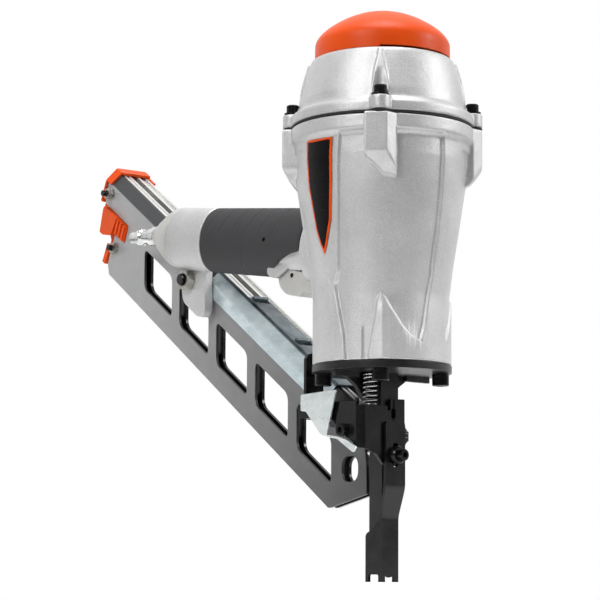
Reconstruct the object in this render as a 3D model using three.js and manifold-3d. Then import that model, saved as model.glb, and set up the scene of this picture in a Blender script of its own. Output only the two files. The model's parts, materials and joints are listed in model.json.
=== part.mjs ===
// Pneumatic strip nailer, drawn in millimetres with +Z up.
// The drive axis is vertical and the nose points down, so the tool stands on the tip of
// its work contact. The handle runs to +Y. The magazine slopes up to +Y as well, and it is
// turned a few degrees towards +X so that it passes beside the handle and the air plug.
// The origin is at the bottom centre of the whole tool's bounding box.
import * as THREE from 'three';
import { mergeVertices } from 'three/addons/utils/BufferGeometryUtils.js';
import Module from 'manifold-3d';

const wasm = await Module();
wasm.setup();

// ---- driving dimensions -------------------------------------------------------------
const DRIVE_AXIS_Y = -137.438;         // the drive axis, measured from the origin
const GAP = 0.3;                      // clearance between pieces that touch
const DEG = Math.PI / 180;

const BODY_RADIUS = 42.7;             // lower, straight part of the housing
const SHOULDER_RADIUS = 57;           // round collar under the cylinder cap
const LUG_RADIUS = 62;                // outer face of the four corner lugs
const NOSE_TOP = 131.6;               // face where the nose casting meets the housing
const SEAM_Z = 279;                   // underside of the cap gasket
const CAP_TOP = 322.6;
const TOOL_HEIGHT = 354;
const CORNER_ANGLES = [45, 135, 225, 315];

const CAP_BOLT_CIRCLE = 56;
const NOSE_BOLT_CIRCLE = 36;
const SLEEVE_OUTER = 34;
const SLEEVE_INNER = 31;
const STROKE_TOP = 256;               // underside of the piston at rest
const BLADE_RADIUS = 3;
const BLADE_TIP = 118;

const HANDLE_REAR = new THREE.Vector3(0, 198.8, 234.4);
const HANDLE_FRONT = new THREE.Vector3(0, 40, 209);
const HANDLE_HALF_WIDTH = 15;
const HANDLE_HALF_HEIGHT = 21;
const GRIP_THICKNESS = 2.2;

const MAGAZINE_PITCH = 33.24 * DEG;   // rise of the magazine above the horizontal
const MAGAZINE_YAW = 5.54 * DEG;      // turn of the magazine towards +X
const MAGAZINE_Z = 13.55;             // height of its bottom edge on the drive axis
const MAGAZINE_END = 421;             // rear end of its plates, along the magazine
const PLATE_OUTER = 4;                // outer face of each side plate from the nail plane
const PLATE_INNER = 2;
const CREASE_P = 42;                  // bend lines of the side plate, above its bottom edge
const FOLD_P = 58.5;
const RAIL_TOP_P = 67;
const WINDOW_FIRST_Y = 46.3;
const WINDOW_PITCH = 47.02;
const WINDOW_LENGTH = 37.5;
const WINDOW_COUNT = 5;
const WINDOW_LOW_P = 13.6;
const WINDOW_HIGH_P = 38.2;

const FOLLOWER_S = 352;               // parked place of the follower along the magazine
const LUG_BOLT = [268.5, 53];         // position of the magazine's main stud

// ---- materials ----------------------------------------------------------------------
const finish = (color, roughness, metalness) => () => (
  new THREE.MeshStandardMaterial({ color, roughness, metalness })
);
const castAluminium = finish(0xc9cac8, 0.55, 0.7);
const blackSteel = finish(0x1c1d1f, 0.45, 0.6);
const blackCasting = finish(0x232426, 0.6, 0.4);
const greySteel = finish(0x6f7072, 0.4, 0.5);
const zincSteel = finish(0xb9c4c8, 0.3, 0.9);
const brightAluminium = finish(0xd5d6d2, 0.35, 0.9);
const orangePlastic = finish(0xe85020, 0.45, 0.0);
const gripRubber = finish(0x3f3f41, 0.85, 0.0);
const whiteMetal = finish(0xe4e8e6, 0.3, 0.9);
const springSteel = finish(0xc4c4c0, 0.3, 0.9);
const sealRubber = finish(0x151515, 0.8, 0.0);
const labelFilm = finish(0x141414, 0.3, 0.0);

// ---- solids -------------------------------------------------------------------------
function signedVolume(position, index) {
  const a = new THREE.Vector3();
  const b = new THREE.Vector3();
  const c = new THREE.Vector3();
  let volume = 0;
  for (let i = 0; i < index.length; i += 3) {
    a.fromArray(position, 3 * index[i]);
    b.fromArray(position, 3 * index[i + 1]);
    c.fromArray(position, 3 * index[i + 2]);
    volume += a.dot(b.cross(c)) / 6;
  }
  return volume;
}

// Turns a closed geometry into a solid with its faces pointing out.
function solid(geometry, matrix = null) {
  const bare = geometry.clone();
  bare.deleteAttribute('normal');
  bare.deleteAttribute('uv');
  if (matrix) bare.applyMatrix4(matrix);
  const merged = mergeVertices(bare, 1e-4);
  const vertProperties = new Float32Array(merged.attributes.position.array);
  const triVerts = new Uint32Array(merged.index.array);
  if (signedVolume(vertProperties, triVerts) < 0) {
    for (let i = 0; i < triVerts.length; i += 3) {
      [triVerts[i + 1], triVerts[i + 2]] = [triVerts[i + 2], triVerts[i + 1]];
    }
  }
  return new wasm.Manifold(new wasm.Mesh({ numProp: 3, vertProperties, triVerts }));
}

const join = (...parts) => parts.reduce((a, b) => a.add(b));
const cut = (base, ...tools) => tools.reduce((a, b) => a.subtract(b), base);

function toGeometry(body) {
  const mesh = body.getMesh();
  const geometry = new THREE.BufferGeometry();
  geometry.setAttribute('position', new THREE.BufferAttribute(mesh.vertProperties, 3));
  geometry.setIndex(new THREE.BufferAttribute(mesh.triVerts, 1));
  geometry.computeVertexNormals();
  return geometry;
}

function piece(name, body, material) {
  const mesh = new THREE.Mesh(toGeometry(body), material());
  mesh.name = name;
  return mesh;
}

const move = (x, y, z) => new THREE.Matrix4().makeTranslation(x, y, z);
const turnZ = (degrees) => new THREE.Matrix4().makeRotationZ(degrees * DEG);
const turnX = (degrees) => new THREE.Matrix4().makeRotationX(degrees * DEG);

// A profile of [radius, height] points turned about the Z axis.
function turned(points, segments = 32) {
  const profile = points.map(([r, z]) => new THREE.Vector2(r, z));
  const closed = points.at(-1)[0] === 0 && points[0][0] === 0;
  if (!closed) profile.push(profile[0].clone());
  return solid(new THREE.LatheGeometry(profile, segments), turnX(90));
}

function rod(radius, from, to, segments = 16) {
  return turned([[0, from], [radius, from], [radius, to], [0, to]], segments);
}

// A box between two opposite corners.
function block(x0, y0, z0, x1, y1, z1) {
  const box = new THREE.BoxGeometry(x1 - x0, y1 - y0, z1 - z0);
  return solid(box, move((x0 + x1) / 2, (y0 + y1) / 2, (z0 + z1) / 2));
}

const outline = (points) => new THREE.Shape(points.map(([u, v]) => new THREE.Vector2(u, v)));

// An outline with every corner rounded to the same radius.
function softOutline(points, radius) {
  const shape = new THREE.Shape();
  const corners = points.map(([u, v]) => new THREE.Vector2(u, v));
  corners.forEach((corner, i) => {
    const before = corners.at(i - 1).clone().sub(corner).setLength(radius).add(corner);
    const after = corners[(i + 1) % corners.length].clone().sub(corner);
    after.setLength(radius).add(corner);
    if (i === 0) shape.moveTo(before.x, before.y);
    else shape.lineTo(before.x, before.y);
    shape.quadraticCurveTo(corner.x, corner.y, after.x, after.y);
  });
  shape.closePath();
  return shape;
}

function extruded(shape, depth, basis, curveSegments = 3) {
  const settings = { depth, bevelEnabled: false, curveSegments };
  return solid(new THREE.ExtrudeGeometry(shape, settings), basis);
}

// An outline in the XY plane, from z0 to z1.
const plate = (shape, z0, z1) => extruded(shape, z1 - z0, move(0, 0, z0));

// An outline in the YZ plane, from x0 to x1.
function sidePlate(shape, x0, x1) {
  const basis = new THREE.Matrix4().makeBasis(
    new THREE.Vector3(0, 1, 0), new THREE.Vector3(0, 0, 1), new THREE.Vector3(1, 0, 0));
  return extruded(shape, x1 - x0, basis.setPosition(x0, 0, 0));
}

// An outline in the XZ plane, from y1 back to y0.
function frontPlate(shape, y0, y1) {
  const basis = new THREE.Matrix4().makeBasis(
    new THREE.Vector3(1, 0, 0), new THREE.Vector3(0, 0, 1), new THREE.Vector3(0, -1, 0));
  return extruded(shape, y1 - y0, basis.setPosition(0, y1, 0));
}

const alongX = (body, x, y, z) => body.transform(
  move(x, y, z).multiply(new THREE.Matrix4().makeRotationY(90 * DEG)).elements);
const alongY = (body, x, y, z) => body.transform(
  move(x, y, z).multiply(turnX(-90)).elements);
const placed = (body, matrix) => body.transform(matrix.elements);

// A round bar bent into a helix, closed at both ends.
function coilSpring(radius, wire, turns, z0, z1) {
  class Helix extends THREE.Curve {
    getPoint(t, target = new THREE.Vector3()) {
      const angle = 2 * Math.PI * turns * t;
      const height = z0 + wire + (z1 - z0 - 2 * wire) * t;
      return target.set(radius * Math.cos(angle), radius * Math.sin(angle), height);
    }
  }
  const section = new THREE.Shape().absarc(0, 0, wire, 0, 2 * Math.PI);
  const settings = { steps: 9 * turns, extrudePath: new Helix(), curveSegments: 2 };
  return solid(new THREE.ExtrudeGeometry(section, settings));
}

// An oval bar between two points in the YZ plane that tapers evenly.
function ovalBar(from, to, halfHeightFrom, halfHeightTo, segments = 28) {
  const length = from.distanceTo(to);
  const bar = new THREE.CylinderGeometry(halfHeightTo, halfHeightFrom, length, segments);
  const tilt = Math.atan2(to.z - from.z, to.y - from.y);
  const middle = from.clone().add(to).multiplyScalar(0.5);
  const squeeze = HANDLE_HALF_WIDTH / HANDLE_HALF_HEIGHT;
  const matrix = move(middle.x, middle.y, middle.z)
    .multiply(new THREE.Matrix4().makeRotationX(tilt))
    .multiply(new THREE.Matrix4().makeScale(squeeze, 1, 1));
  return solid(bar, matrix);
}

const onHandle = (y) => {
  const t = (y - HANDLE_FRONT.y) / (HANDLE_REAR.y - HANDLE_FRONT.y);
  return HANDLE_FRONT.clone().lerp(HANDLE_REAR, t);
};

const tool = new THREE.Group();
const magazine = new THREE.Group();

// ---- head: cover, cap, gasket and bolts ---------------------------------------------
function exhaustCover() {
  return turned([
    [2.7, 323.2], [8, 323.2], [8, 348.2], [16, 347.4], [25, 345], [33.5, 339.6], [38.6, 335.4],
    [40.2, 332], [40.2, 324], [42.3, 324], [42.2, 333.4], [40.1, 337.3], [36.6, 340.7],
    [31.8, 344.1], [25.7, 347.6], [18.1, 350.9], [11, 353.1], [6.6, TOOL_HEIGHT],
    [5.2, TOOL_HEIGHT], [5.2, 350.4], [2.7, 350.4],
  ]);
}

function exhaustScrew() {
  const body = join(rod(4.7, 350.7, 353.8, 20), rod(2.2, 318.5, 350.8, 12));
  return cut(body, rod(2, 351.6, 355, 6));
}

function cylinderCap() {
  const wall = turned([
    [37.8, 280.3], [56.8, 280.3], [56.8, 286.4], [54.4, 288.6], [51.9, 292.4], [51.4, 296],
    [44.6, 321.8], [43.8, CAP_TOP], [0, CAP_TOP], [0, 315], [37.8, 315],
  ], 40);
  const parts = [wall];
  for (const angle of CORNER_ANGLES) {
    const rib = frontPlate(outline([[40, 321], [44.4, 321], [57.5, 288.8], [40, 288.8]]), -3.6, 3.6);
    const lug = block(48, -6.2, 280.3, CAP_BOLT_CIRCLE, 6.2, 289);
    const nose = placed(rod(6.2, 280.3, 289, 16), move(CAP_BOLT_CIRCLE, 0, 0));
    parts.push(placed(join(rib, lug, nose), turnZ(angle)));
  }
  const tools = [rod(2.7, 312, 330, 12)];
  for (const angle of CORNER_ANGLES) {
    const hole = placed(rod(2.9, 270, 292, 12), move(CAP_BOLT_CIRCLE, 0, 0));
    const spotFace = placed(rod(6, 289, 330, 16), move(CAP_BOLT_CIRCLE, 0, 0));
    const port = placed(rod(5, 312, 330, 12), move(22, 0, 0));
    tools.push(placed(join(hole, spotFace), turnZ(angle)), placed(port, turnZ(angle + 45)));
  }
  return cut(join(...parts), ...tools);
}

function ringGasket() {
  let body = turned([[39, SEAM_Z], [56.8, SEAM_Z], [56.8, 280], [39, 280]], 40);
  for (const angle of CORNER_ANGLES) {
    const lug = placed(join(block(48, -6, SEAM_Z, 56, 6, 280),
      placed(rod(6, SEAM_Z, 280, 14), move(CAP_BOLT_CIRCLE, 0, 0))), turnZ(angle));
    const hole = placed(rod(2.9, 275, 285, 12), move(CAP_BOLT_CIRCLE, 0, 0));
    body = cut(join(body, lug), placed(hole, turnZ(angle)));
  }
  return body;
}

function capScrew(headRadius, headTop, headHeight, washer, shank, shankEnd) {
  const body = join(
    rod(headRadius, headTop - headHeight, headTop, 14),
    rod(washer, headTop - headHeight - 1.1, headTop - headHeight + 0.1, 14),
    rod(shank, shankEnd, headTop - headHeight, 8));
  return cut(body, rod(headRadius * 0.5, headTop - headHeight * 0.5, headTop + 1, 6));
}

// ---- housing with handle and magazine lug -------------------------------------------
const HOUSING_PROFILE = [
  [BODY_RADIUS, NOSE_TOP + GAP], [BODY_RADIUS + 0.1, 172.5], [45.1, 192], [48.1, 210], [53, 242],
  [54.6, 258], [54.7, 267.6], [SHOULDER_RADIUS, 270.2], [SHOULDER_RADIUS, SEAM_Z - GAP],
];

function magazineMatrix() {
  return new THREE.Matrix4().makeRotationZ(-MAGAZINE_YAW);
}

function housingBody() {
  const shell = turned([[0, NOSE_TOP + GAP], ...HOUSING_PROFILE, [0, SEAM_Z - GAP]], 40);
  const parts = [shell];
  for (const angle of CORNER_ANGLES) {
    const side = outline([[38, 236], [53, 242.3], [LUG_RADIUS, 254.5],
      [LUG_RADIUS, SEAM_Z - GAP], [38, SEAM_Z - GAP]]);
    parts.push(placed(frontPlate(side, -9.5, 9.5), turnZ(angle)));
  }
  // handle: a bar inside the grip, full size behind it and where it meets the body
  parts.push(ovalBar(onHandle(30), HANDLE_REAR, 19.6, 18.6));
  parts.push(ovalBar(onHandle(162), HANDLE_REAR, 21.6, HANDLE_HALF_HEIGHT));
  parts.push(ovalBar(onHandle(30), onHandle(58.3), 26.5, 24.2));
  // guard band that carries the trigger
  const band = outline([[44, 222], [44, 196], [58, 200.2], [68, 201.7], [76, 201], [84.1, 196.9],
    [89, 194.2], [95.6, 195.9], [98.2, 200.5], [92, 206], [84, 210], [72, 216], [62, 221]]);
  parts.push(sidePlate(band, -10.5, 10.5));
  // lug that is bolted to the magazine
  const lug = outline([[177, 229], [196, 229], [196, 213], [201.5, 210], [204.6, 205],
    [206.2, 199.5], [203.5, 190.5], [187, 179.4], [180.5, 178], [176.8, 181.5]]);
  parts.push(placed(sidePlate(lug, -14.6, -7.7), magazineMatrix()));

  const bore = turned([[0, 146], [38.5, 146], [38.5, 290], [0, 290]], 32);
  const throat = rod(24.2, 120, 150, 32);
  const airWay = ovalBar(onHandle(30), onHandle(205), 15.5, 15.5, 18);
  const triggerSlot = block(-7.6, 43.9, 170, 7.6, 91.6, 203);
  const valveSeat = placed(rod(7.3, 195, 226, 20), move(0, 62, 0));
  const pinHole = alongX(rod(1.8, -20, 20, 12), 0, 77, 195.4);
  const lugHole = placed(alongX(rod(4.5, -30, 10, 16), 0, 195.5, 205), magazineMatrix());
  const nutFace = placed(alongX(rod(8.2, -30, -14.6, 16), 0, 195.5, 205), magazineMatrix());
  const tools = [bore, throat, airWay, triggerSlot, valveSeat, pinHole, lugHole, nutFace];
  for (const angle of CORNER_ANGLES) {
    tools.push(placed(placed(rod(2.9, 252, 290, 12), move(CAP_BOLT_CIRCLE, 0, 0)), turnZ(angle)));
    tools.push(placed(placed(rod(2.9, 120, 143, 12), move(NOSE_BOLT_CIRCLE, 0, 0)), turnZ(angle)));
  }
  return cut(join(...parts), ...tools);
}

// Shield-shaped panel that lies on the left side of the housing.
function labelPanel() {
  const shellProfile = (offset) => HOUSING_PROFILE.slice(1, 7).map(([r, z]) => [r + offset, z]);
  const outer = shellProfile(1.1);
  const inner = shellProfile(0.35).reverse();
  const shield = outline([[-13.4, 267], [10.8, 267], [11.3, 237], [8.2, 212], [3.4, 197.4],
    [1.4, 197.4], [-6.8, 216.4]]);
  return turned([...outer, ...inner], 40).intersect(sidePlate(shield, -70, -20));
}

// ---- drive: sleeve, piston, blade, bumper, head valve -------------------------------
const sleeve = () => turned([[SLEEVE_INNER, 146.3], [SLEEVE_OUTER, 146.3], [SLEEVE_OUTER, 276],
  [SLEEVE_INNER, 276]]);
const piston = () => cut(
  turned([[0, STROKE_TOP], [12, STROKE_TOP], [15, 260], [30.5, 260], [30.5, 263.7], [28.3, 263.7],
    [28.3, 267.3], [30.5, 267.3], [30.5, 271], [0, 271]]),
  rod(BLADE_RADIUS + GAP, 250, 266.4, 16));
const pistonRing = () => turned([[28.7, 264], [30.6, 264], [30.6, 267], [28.7, 267]]);
const driverBlade = () => join(rod(BLADE_RADIUS, BLADE_TIP, 262, 16), rod(2.4, 261, 266, 12));
const bumper = () => turned([[5.5, 132], [23.6, 132], [23.6, 144], [21, 146], [10, 146],
  [5.5, 142]]);
const headValve = () => turned([[15, 284], [29, 282.5], [30.6, 276.4], [34.4, 276.4], [36, 280.4],
  [37.4, 281], [37.4, 290], [15, 290]]);

// ---- nose casting -------------------------------------------------------------------
function noseCasting() {
  const parts = [rod(BODY_RADIUS + 0.3, 127, NOSE_TOP, 44)];
  parts.push(block(-7.2, -7, 98, 7.2, 8.6, 127.5));
  parts.push(block(-4.6, -5, 30, 4.6, 6.1, 99));
  for (const side of [-1, 1]) {
    const gusset = outline([[side * 5, 127.5], [side * 30, 127.5], [side * 6.5, 106],
      [side * 5, 106]]);
    parts.push(frontPlate(gusset, 4.2, 7.6));
  }
  parts.push(placed(rod(2.8, 118, 128, 14), move(-12.5, -2.8, 0)));
  const tools = [rod(3.8, 20, 140, 20), block(-2.4, 0, 10, 2.4, 12, 110)];
  for (const angle of CORNER_ANGLES) {
    tools.push(placed(placed(rod(2.9, 110, 140, 12), move(NOSE_BOLT_CIRCLE, 0, 0)), turnZ(angle)));
  }
  return cut(join(...parts), ...tools);
}

function guideKnob() {
  const body = join(rod(7, 10.6, 14.4, 24), rod(5.6, 14, 16.8, 24), rod(2.5, 4.9, 11, 12));
  return alongX(body, 0, -1.5, 89);
}

// ---- work contact -------------------------------------------------------------------
function contactTip() {
  const side = outline([[-12.2, 98], [-12.2, 57], [-7.8, 39.5], [-7.8, 0], [7.2, 0], [7.2, 29],
    [2, 31.5], [-3, 36], [-6, 41], [-10.3, 58.2], [-10.3, 98]]);
  const face = outline([[-6.7, 97.5], [6.7, 97.5], [8.2, 96], [8.2, 55], [6.7, 40], [6.7, 0],
    [-6.7, 0], [-6.7, 40], [-8.2, 55], [-8.2, 96]]);
  const body = sidePlate(side, -8.2, 8.2).intersect(frontPlate(face, -13, 8));
  const hollow = block(-4.9, -6, -1, 4.9, 9, 60);
  const slot = frontPlate(softOutline([[-2.4, 66], [2.4, 66], [2.4, 87], [-2.4, 87]], 2), -14, -9);
  const teeth = [block(-4.4, -9, -1, 3, -5, 4), block(-8, -4, -1, 8, 4.5, 4.5)];
  return cut(body, hollow, slot, ...teeth);
}

function contactBracket() {
  const t = 2.4;
  const bend = new THREE.Shape();
  bend.moveTo(9.8, -10);
  bend.lineTo(-22.7, -10);
  bend.absarc(-22.7, -5.4, 4.6, -Math.PI / 2, -Math.PI, true);
  bend.lineTo(-27.3, 44.6);
  bend.lineTo(-27.3 + t, 44.6);
  bend.lineTo(-27.3 + t, -5.4);
  bend.absarc(-22.7, -5.4, 4.6 - t, -Math.PI, -Math.PI / 2, false);
  bend.lineTo(9.8, -10 + t);
  const sheet = plate(bend, 68, 111.2);
  const face = outline([[-40, 106.3], [-4.8, 106.6], [-4.6, 104], [-2.4, 104], [-2.2, 110.8],
    [9.8, 111.2], [9.8, 70], [-7.5, 70], [-14, 77], [-23, 80.3], [-40, 80.3]]);
  const flank = outline([[-11, 81], [-7.4, 81.2], [-0.4, 85.3], [9.6, 90.1], [13.3, 97.6],
    [20, 100], [44.6, 100], [44.6, 109], [11.2, 109], [11.2, 108.7], [-3.8, 108.3], [-7.3, 112],
    [-11, 112]]);
  const front = sheet.intersect(frontPlate(face, -11, -4));
  const left = sheet.intersect(sidePlate(flank, -28, -21)).intersect(block(-28, -6, 60, -21, 50, 120));
  const corner = sheet.intersect(block(-28, -11, 80.8, -19, -3.5, 106.3));
  const strip = outline([[-27.3, 100], [-8, 100], [-8, 139], [-2, 142], [-2, 181.5], [-7.2, 181.5],
    [-7.2, 144], [-20.5, 141], [-22.6, 138], [-22.6, 109], [-27.3, 109]]);
  const arm = frontPlate(strip, 44.6, 46.8);
  const seat = block(-17.5, -8, 103.5, -7.9, 1.6, 105.5);
  const hole = alongY(rod(2.5, -20, 0, 14), 0, 0, 76.5);
  const keyhole = frontPlate(softOutline([[-1.6, 99], [1.6, 99], [1.6, 105], [-1.6, 105]], 1.4), -12, -6);
  const sideHole = alongX(rod(2.6, -30, -20, 12), 0, 3.6, 91.2);
  return cut(join(front, left, corner, arm, seat), hole, keyhole, sideHole);
}

function depthScrew() {
  const head = join(rod(3.6, 16.6, 20.6, 16), rod(2.1, 6.2, 17, 12));
  const socket = rod(1.9, 18.4, 22, 6);
  return alongY(cut(head, socket).mirror([0, 0, 1]), 0, 0, 76.5);
}
const depthCollar = () => alongY(turned([[2.5, 12.5], [5.6, 12.5], [5.6, 15.2], [4.6, 16.4],
  [2.5, 16.4]], 20).mirror([0, 0, 1]), 0, 0, 76.5);

function guardPlate() {
  const shape = outline([[40.8, 114.6], [8.4, 116], [16.6, 88.8], [6.9, 87.3], [-0.8, 85.1],
    [-9.7, 80.6], [-7, 77], [7.5, 85.9], [16.4, 87.4], [22.5, 89.4], [35.9, 103.9], [40.7, 104.6]]);
  const stay = outline([[22, 94], [25, 94.5], [27.5, 99], [22, 99]]);
  return join(sidePlate(shape, -30.6, -29.4), sidePlate(stay, -30.6, -7.2));
}

function sideScrew() {
  const body = join(rod(4, -31.8, -27.6, 20), rod(2.2, -28, -24.6, 12));
  return alongX(cut(body, rod(2.1, -33, -30, 6)), 0, 3.6, 91.2);
}

// ---- trigger ------------------------------------------------------------------------
function triggerBody() {
  const shape = softOutline([[50, 196.5], [50, 185], [60, 181], [66, 183.4], [70, 180.6], [83, 183.2],
    [89.5, 190], [90, 200], [78, 201.5], [70, 197]], 2);
  const solidBody = sidePlate(shape, -7, 7);
  const pocket = block(-4.6, 46, 188, 4.6, 74, 210);
  const hole = alongX(rod(1.8, -20, 20, 12), 0, 77, 195.4);
  return cut(solidBody, pocket, hole);
}
const triggerPin = () => alongX(rod(1.5, -7.2, 7.2, 12), 0, 77, 195.4);
const triggerLever = () => sidePlate(outline([[45.2, 191.9], [72.5, 189.4], [72.5, 191.6],
  [45.2, 194.1]]), -3.6, 3.6);
const valveBody = () => placed(turned([[2.4, 203.6], [7, 203.6], [7, 224], [2.4, 224]], 24),
  move(0, 62, 0));
const valveStem = () => placed(rod(2.1, 195, 221, 14), move(0, 62, 0));

// ---- handle: grip, end cap, air plug ------------------------------------------------
function rubberGrip() {
  const rear = onHandle(161.4);
  const front = onHandle(59).add(new THREE.Vector3(0, 0, 1.2));
  const outer = ovalBar(front, rear, 24.4, 21.9, 32);
  const core = ovalBar(onHandle(30), HANDLE_REAR, 19.6 + GAP, 18.6 + GAP);
  const below = sidePlate(outline([[50, 212.5], [55.8, 210.7], [61.4, 208.9], [71, 208.1],
    [84, 204.6], [93, 199.5], [98, 194], [98, 170], [50, 170]]), -30, 30);
  const band = sidePlate(outline([[44, 223], [44, 190], [95.9, 190], [98.6, 200.6], [92.1, 206.4],
    [84.1, 210.4], [72.1, 216.4], [62.1, 221.4]]), -10.8, 10.8);
  return cut(outer, core, below, band);
}

function handleEndCap() {
  const dome = turned([[0, 0], [14.9, 0], [14.6, 3.5], [12.4, 10.5], [9.2, 18], [6, 22.5],
    [0, 22.5]], 28);
  const squash = new THREE.Matrix4().makeScale(1, 1.39, 1);
  const boss = rod(7.8, 10, 25, 20);
  const body = join(placed(dome, squash), boss);
  const hollow = cut(body, placed(rod(9, -1, 9, 20), squash));
  const lean = move(0, HANDLE_REAR.y + GAP, HANDLE_REAR.z).multiply(turnX(-90 + 9.1));
  return cut(placed(hollow, lean), placed(rod(6.5, -8, 20, 20), plugMatrix()));
}

const plugMatrix = () => move(0, 212, 237.6).multiply(turnX(-90 + 4));

function airPlug() {
  const outer = turned([
    [3.1, 0], [6.1, 0], [6.1, 12.6], [7.2, 12.8], [7.2, 17], [6.2, 18], [6.2, 22], [4.4, 24],
    [4.4, 29], [5.8, 31], [5.8, 34.5], [4.6, 36], [4.6, 42.6], [3.1, 42.6],
  ], 18);
  return placed(outer, plugMatrix());
}

// ---- magazine, in its own frame: Y along it, Z up from its bottom edge ---------------
const MAG = { sin: Math.sin(MAGAZINE_PITCH), cos: Math.cos(MAGAZINE_PITCH) };
const alongAt = (y, p) => (y + p * MAG.sin) / MAG.cos;

// A point [y, z] of the tool, seen in the magazine's own frame.
function fromTool(y, z) {
  const up = z - MAGAZINE_Z;
  return [y * MAG.cos + up * MAG.sin, up * MAG.cos - y * MAG.sin];
}

const MAGAZINE_OUTLINE = [
  [58.7, 0], [384, 0], [390, 6], [393, 29], [377, 29], [379.5, CREASE_P], [418, CREASE_P],
  [MAGAZINE_END, 44.5], [MAGAZINE_END, 80], [alongAt(11, 80), 80], [30.2, 28],
];

function windowCutters() {
  const cutters = [];
  for (let k = 0; k < WINDOW_COUNT; k += 1) {
    const front = WINDOW_FIRST_Y + WINDOW_PITCH * k;
    const rear = front + WINDOW_LENGTH;
    const shape = softOutline([
      [alongAt(front, WINDOW_LOW_P), WINDOW_LOW_P], [alongAt(rear, WINDOW_LOW_P), WINDOW_LOW_P],
      [alongAt(rear, WINDOW_HIGH_P), WINDOW_HIGH_P], [alongAt(front, WINDOW_HIGH_P), WINDOW_HIGH_P],
    ], 4.5);
    cutters.push(sidePlate(shape, -20, 20));
  }
  const nailSlot = softOutline([fromTool(18.5, 61.5), fromTool(35.5, 61.5), fromTool(35.5, 77.5),
    fromTool(18.5, 77.5)], 7);
  cutters.push(sidePlate(nailSlot, -20, 20));
  return cutters;
}

const boltHoles = (radius) => [
  alongX(rod(radius, -30, 40, 16), 0, 413, 52),
  alongX(rod(radius, -30, 40, 16), 0, 386.3, 20.4),
];

function nearPlate() {
  const section = outline([[-PLATE_OUTER, 0], [-PLATE_OUTER, CREASE_P], [-6, FOLD_P],
    [-0.8, RAIL_TOP_P - 0.2], [0.5, RAIL_TOP_P - 1.4], [-4, FOLD_P - 0.7], [-PLATE_INNER, CREASE_P],
    [-PLATE_INNER, 0]]);
  const sheet = frontPlate(section, 0, 460);
  const body = sheet.intersect(sidePlate(outline(MAGAZINE_OUTLINE), -20, 20));
  const lugBolt = alongX(rod(4.5, -30, 0, 16), 0, ...LUG_BOLT);
  return cut(body, ...windowCutters(), ...boltHoles(2.5), lugBolt);
}

function farPlate() {
  const body = sidePlate(outline(MAGAZINE_OUTLINE), PLATE_INNER, PLATE_OUTER)
    .intersect(block(0, 0, -1, 10, 420.5, 44.2));
  return cut(body, ...windowCutters(), ...boltHoles(2.5));
}

const innerRail = () => block(1.2, 58, 60.6, 7.3, 420.6, RAIL_TOP_P);
function outerRail() {
  const section = outline([[4.4, 44.6], [21.5, 44.6], [21.5, RAIL_TOP_P], [12.7, RAIL_TOP_P],
    [12.7, 46.4], [4.4, 46.4]]);
  return cut(frontPlate(section, 52, 420.6), ...boltHoles(2.5));
}
const bottomSpacer = () => block(-1.7, 60, 0.4, 1.7, 383, 3);
const frontSpacer = () => sidePlate(outline([fromTool(12, 80), fromTool(24, 82), fromTool(24, 92),
  fromTool(12, 90)]), -1.7, 1.7);

function channelCover() {
  const section = outline([[-7.3, 51], [-7.3, 59.3], [-1.7, 68.5], [15, 68.5], [15, 67.4], [-1.1, 67.4],
    [-6.3, 59], [-6.2, 51]]);
  const sheet = frontPlate(section, 96, 256);
  const cutRear = block(-1.2, 215.8, 60, 20, 260, 80);
  const taper = plate(outline([[12.6, 260], [15.6, 90], [20, 90], [20, 260]]), 60, 80);
  const ridges = [213, 154].map((s) => block(0.5, s - 1.2, 68, 12, s + 1.2, 70.6));
  return join(cut(sheet, cutRear, taper), ...ridges);
}

function follower() {
  const tongue = block(-1.6, FOLLOWER_S, 5, 1.6, FOLLOWER_S + 21, 47.2);
  const carriage = block(-1.1, FOLLOWER_S, 46.9, 12.2, FOLLOWER_S + 24, 60.2);
  const rider = block(7.7, FOLLOWER_S, 60, 12.2, FOLLOWER_S + 24, 66.6);
  const pocket = alongX(rod(5.9, 3, 20), 0, FOLLOWER_S + 15, 53.6);
  return cut(join(tongue, carriage, rider), pocket);
}
const springRoll = () => alongX(cut(rod(5.5, 4.2, 11.8), rod(2, 3, 13, 12)),
  0, FOLLOWER_S + 15, 53.6);

function rearCap() {
  const rim = [[-6.4, 41.8], [-7.6, 58.9], [-1.7, 69.2], [23.4, 69.2], [23.4, 60], [21.8, 60]];
  const wall = frontPlate(outline([...rim, [21.8, 41.8]]), 421.4, 423);
  const strap = frontPlate(outline([...rim.slice(1), [21.8, 67.4], [-1, 67.4], [-6.5, 58.4]]), 415, 422);
  const skirt = block(21.8, 405, 60, 23.4, 422, 67.6);
  const lower = sidePlate(outline([[393.8, 4], [397.6, 4], [399.5, 21], [423, 37.4], [423, 46],
    [421.4, 46], [421.4, 41.6], [395, 41.6], [393.8, 29.6]]), -1.5, 4.2);
  const corner = sidePlate(outline([[393.8, 4], [397.6, 4], [399, 18.5], [393.8, 18.5]]), -4.4, -1);
  return join(wall, strap, skirt, lower, corner);
}

function latch() {
  const thumbPiece = sidePlate(outline([[393.6, 27.5], [404.5, 22.5], [409.5, 22.5], [414.5, 38],
    [414.5, 41.2], [393.5, 41.2]]), -7.4, -1.9);
  const base = sidePlate(outline([[377.9, 29.5], [395, 29.5], [395, 41.2],
    [380.1, 41.2]]), -4.6, -1.9);
  const ribs = [378.6, 383.6, 388.6].map((s) => sidePlate(outline([[s, 30], [s + 2.4, 30],
    [s + 4.4, 40.8], [s + 2, 40.8]]), -6.8, -4));
  return join(thumbPiece, base, ...ribs);
}

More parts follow.
